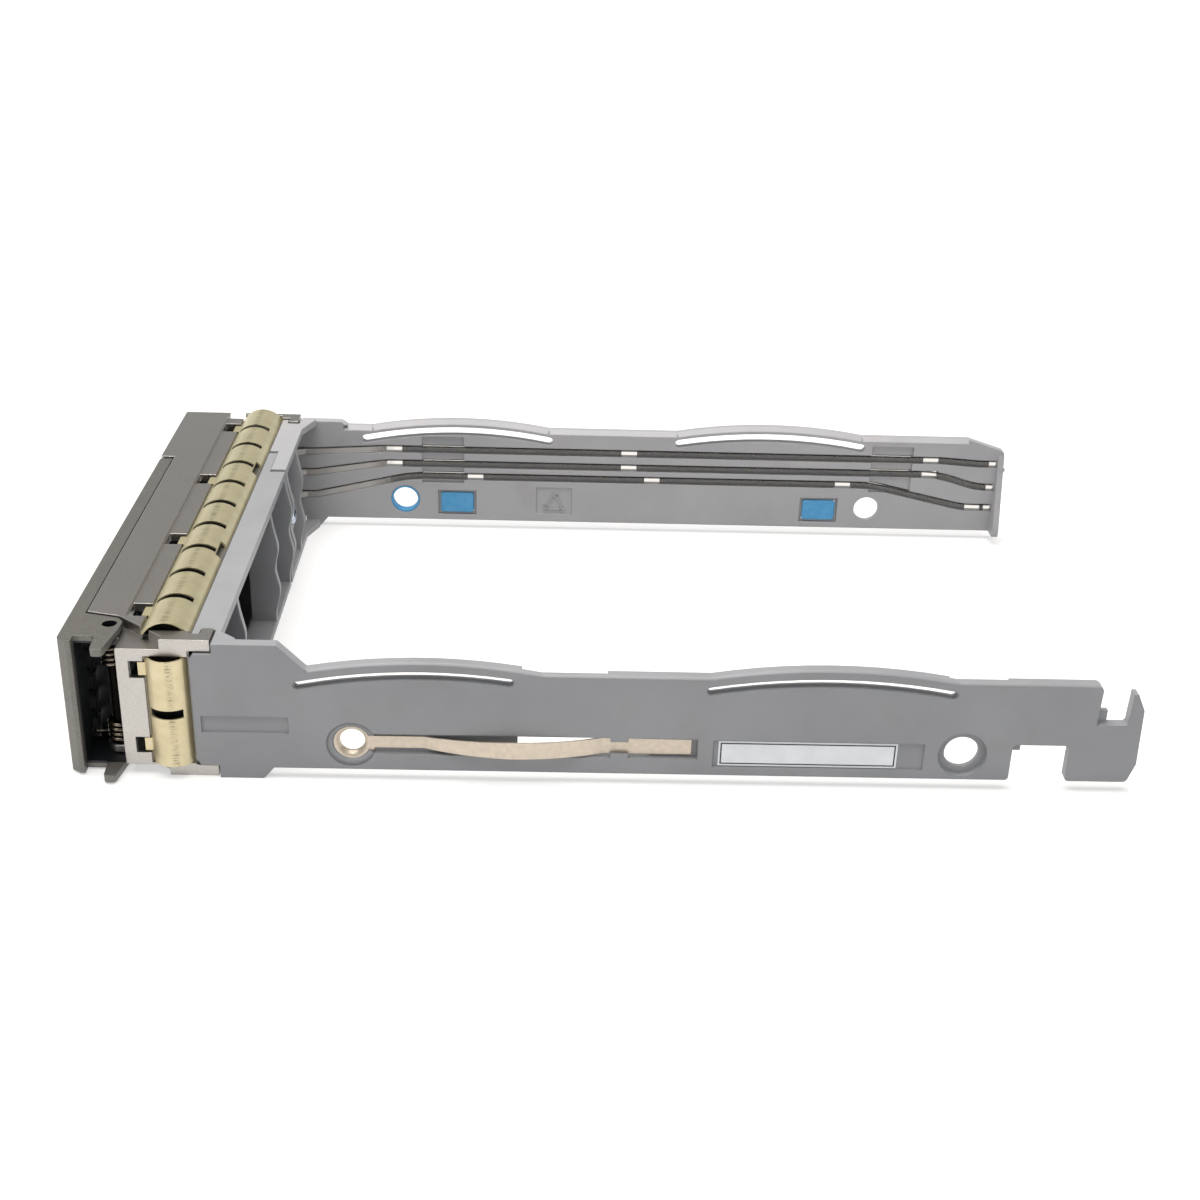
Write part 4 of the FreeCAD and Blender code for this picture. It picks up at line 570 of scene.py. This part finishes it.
# %% Cone over the ring
CONE_WALL = ((4.06, 0.06), (3.2, 0.66), (3.02, 0.7), (3.05, 0.8), (4.06, 0.8))
GAP_HALF = math.radians(25)
mesh = bmesh.new()
rim, wall = wall_section(mesh, CONE_WALL)
bmesh.ops.rotate(mesh, verts=rim, cent=hole, matrix=Matrix.Rotation(GAP_HALF, 3, "Y"))
bmesh.ops.spin(mesh, geom=rim + wall, cent=hole, axis=(0, 1, 0), dvec=(0, 0, 0),
               angle=math.tau - 2 * GAP_HALF, steps=44, use_merge=False)
close_ends(mesh)
finish_piece("screw_hole_cone", mesh, rail_plastic, "caddy")

# %% [markdown]
# The blue damper pads come through the rail in two shallow pockets. A pocket's floor is a frame
# of plastic 0.2 mm thick that closes in on the pad. A square of one face is sized, inset by the
# pocket's margin, opened in the middle and given its thickness. It is made lying down, so it is
# turned upright before it goes to its place. The recycling mark is made the same way.

# %% Two helpers for flat raised shapes
def open_ring(mesh, width):
    """Insets the one face of the mesh and takes its middle out."""
    bmesh.ops.inset_individual(mesh, faces=mesh.faces[:], thickness=width, use_even_offset=True)
    opening = min(mesh.faces, key=lambda face: face.calc_center_median().length)
    bmesh.ops.delete(mesh, geom=[opening], context="FACES_ONLY")


def thicken_and_hang(mesh, thickness, spot):
    """Gives a flat shape its thickness and hangs it upright on the far rail's inner side."""
    made = bmesh.ops.extrude_face_region(mesh, geom=mesh.faces[:])["geom"]
    bmesh.ops.translate(mesh, verts=points_of(made), vec=(0, 0, thickness))
    bmesh.ops.rotate(mesh, verts=mesh.verts, matrix=Matrix.Rotation(math.pi / 2, 3, "X"))
    bmesh.ops.translate(mesh, verts=mesh.verts, vec=spot)


print("ring helpers ready")

# %% Pocket floors round the pads
PAD_LENGTH, PAD_HEIGHT, PAD_STEP, PAD_MIDDLE = 7.1, 4.5, 79.7, 6.2
POCKET_MARGIN, POCKET_FLOOR, FLOOR_SHEET = 0.58, 1.3, 0.2 * MM
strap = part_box("damper_strip")
for index, name in enumerate(("front", "rear")):
    pad_x = strap[1].x - (PAD_LENGTH / 2 + PAD_STEP * (1 - index)) * MM
    mesh = bmesh.new()
    bmesh.ops.create_grid(mesh, x_segments=1, y_segments=1, size=0.5)
    bmesh.ops.scale(mesh, verts=mesh.verts, vec=((PAD_LENGTH + 2 * POCKET_MARGIN) * MM,
                                                 (PAD_HEIGHT + 2 * POCKET_MARGIN) * MM, 1))
    open_ring(mesh, POCKET_MARGIN * MM)
    thicken_and_hang(mesh, FLOOR_SHEET, (pad_x, strap[1].y - POCKET_FLOOR * MM, PAD_MIDDLE * MM))
    finish_piece("pad_pocket_" + name, mesh, rail_plastic, "caddy",
                 smooth=False)

# %% [markdown]
# Moulded plastic carries a recycling triangle: three straight arrows that chase each other. It
# is 0.22 mm thick, in its shallow recess. A triangle is inset to a ring, the ring is cut at its
# corners and each side drawn in a little, and a small triangle makes every arrow's head.

# %% Recycling mark
MARK_RADIUS, MARK_WIDTH, MARK_HEAD, MARK_RISE = 3.1, 0.6, 0.85, 0.22
ARM_SHARE, HEAD_REACH = 0.72, 1.75
mark_place = Vector((-9.6 * MM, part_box("light_pipe_upper")[1].y - 1.05 * MM, 6.3 * MM))
mesh = bmesh.new()
bmesh.ops.create_circle(mesh, cap_ends=True, segments=3, radius=MARK_RADIUS * MM)
open_ring(mesh, MARK_WIDTH * MM)
bmesh.ops.split_edges(mesh, edges=[edge for edge in mesh.edges if len(edge.link_faces) == 2])
for side in list(mesh.faces):
    centre = side.calc_center_median()
    bmesh.ops.scale(mesh, verts=side.verts, vec=(ARM_SHARE, ARM_SHARE, 1),
                    space=Matrix.Translation(-centre))
    head = bmesh.ops.create_circle(mesh, cap_ends=True, segments=3, radius=MARK_HEAD * MM)["verts"]
    outward = centre.normalized()
    forward = Vector((-outward.y, outward.x, 0))
    turn = Vector((0, 1, 0)).rotation_difference(forward).to_matrix()
    bmesh.ops.rotate(mesh, verts=head, matrix=turn)
    bmesh.ops.translate(mesh, verts=head, vec=centre + forward * HEAD_REACH * MM)
thicken_and_hang(mesh, MARK_RISE * MM, mark_place)
finish_piece("recycling_mark", mesh, far_rail_plastic, "caddy",
             smooth=False)

# %% [markdown]
# ## Floor, light and camera
# A plain pale floor under one broad lamp, as in a catalogue studio. The lamp is large, so that
# shadows stay soft. The floor shows white to the eye and keeps a faint shadow. Away from the
# lamp it would turn grey, so its glow rises with the distance from the caddy.

# %% Floor
NEAR_GLOW, FAR_GLOW = (0.3, 0.5), (1.1, 1.0)     # distance in metres, strength
mesh = bmesh.new()
bmesh.ops.create_grid(mesh, x_segments=1, y_segments=1, size=3.0)
data = bpy.data.meshes.new("floor")
mesh.to_mesh(data)
mesh.free()
floor = bpy.data.objects.new("floor", data)
bpy.context.scene.collection.objects.link(floor)
floor_paint, tree, shader = new_material("white_studio_floor", Roughness=0.9,
                                         Base_Color=linear("#c4c4c4"))
path = add(tree, "ShaderNodeLightPath")
seen = add(tree, "ShaderNodeMath", {"operation": "MAXIMUM"}, i0=path.outputs["Is Camera Ray"],
           i1=path.outputs["Is Glossy Ray"])
seen = add(tree, "ShaderNodeMath", {"operation": "MAXIMUM"}, i0=seen.outputs[0],
           i1=path.outputs["Is Transmission Ray"])
place = add(tree, "ShaderNodeTexCoord").outputs["Object"]
away = add(tree, "ShaderNodeVectorMath", {"operation": "LENGTH"}, i0=place)
level = add(tree, "ShaderNodeMapRange", Value=away.outputs["Value"], i1=NEAR_GLOW[0],
            i2=FAR_GLOW[0], i3=NEAR_GLOW[1], i4=FAR_GLOW[1])
glow = add(tree, "ShaderNodeMath", {"operation": "MULTIPLY"}, i0=seen.outputs[0],
           i1=level.outputs[0])
tree.links.new(glow.outputs[0], shader.inputs["Emission Strength"])
shader.inputs["Emission Color"].default_value = (1, 1, 1, 1)
data.materials.append(floor_paint)
print("floor laid at z = 0")

# %% [markdown]
# The world is white up to 5 degrees above the horizon, so the floor has no end, and fades to a
# dim grey by 20 degrees. Metal that faces up then mirrors the dim part and keeps its shape,
# while metal that faces the floor stays bright.

# %% World and lamp
world = bpy.data.worlds.new("studio")
bpy.context.scene.world = world
world.use_nodes = True
tree = world.node_tree
back = tree.nodes["Background"]
back.inputs[0].default_value = (1, 1, 1, 1)
heading = add(tree, "ShaderNodeTexCoord").outputs["Generated"]
height = add(tree, "ShaderNodeSeparateXYZ", i0=heading)
level = add(tree, "ShaderNodeMapRange", Value=height.outputs[2], i1=0.08, i2=0.34, i3=1.0, i4=0.28)
tree.links.new(level.outputs[0], back.inputs[1])

light = bpy.data.lights.new("key_above", "AREA")
light.shape = "RECTANGLE"
light.size = light.size_y = 0.75
light.energy = 9.4
light.color = (1.0, 0.965, 0.925)
lamp = bpy.data.objects.new("key_above", light)
bpy.context.scene.collection.objects.link(lamp)
lamp.location = (-0.12, -0.05, 0.75)
lamp.rotation_euler = (-Vector(lamp.location)).to_track_quat("-Z", "Y").to_euler()
print("one broad lamp and a white world")

# %% [markdown]
# The camera looks from the near side at 26 degrees above the horizon, rolled a little, as a
# hand-held product shot is. Its place is worked out from those angles.

# %% Camera
AZIMUTH, ELEVATION, ROLL = (math.radians(a) for a in (-1.76, 26.36, 1.92))
level_reach = math.cos(ELEVATION)
backward = Vector((math.sin(AZIMUTH) * level_reach, -math.cos(AZIMUTH) * level_reach,
                   math.sin(ELEVATION)))
right = Vector((math.cos(AZIMUTH), math.sin(AZIMUTH), 0))
up = backward.cross(right)
turned_right = right * math.cos(ROLL) + up * math.sin(ROLL)
turned_up = up * math.cos(ROLL) - right * math.sin(ROLL)
AIM = Vector((17.8, -138.63, 11.8)) * MM
STEP_RIGHT, STEP_UP, STEP_BACK = -20.4, 58.71, 203.64
spot = AIM + (turned_right * STEP_RIGHT + turned_up * STEP_UP + backward * STEP_BACK) * MM
lens = bpy.data.cameras.new("camera")
lens.lens = 51.04
lens.sensor_width = 36
lens.clip_start, lens.clip_end = 0.01, 20
camera = bpy.data.objects.new("camera", lens)
bpy.context.scene.collection.objects.link(camera)
camera.matrix_world = Matrix((turned_right, turned_up, backward)).transposed().to_4x4()
camera.location = spot
bpy.context.scene.camera = camera
bpy.context.scene.view_settings.view_transform = "Standard"
print("camera at", [round(v / MM) for v in spot], "mm")
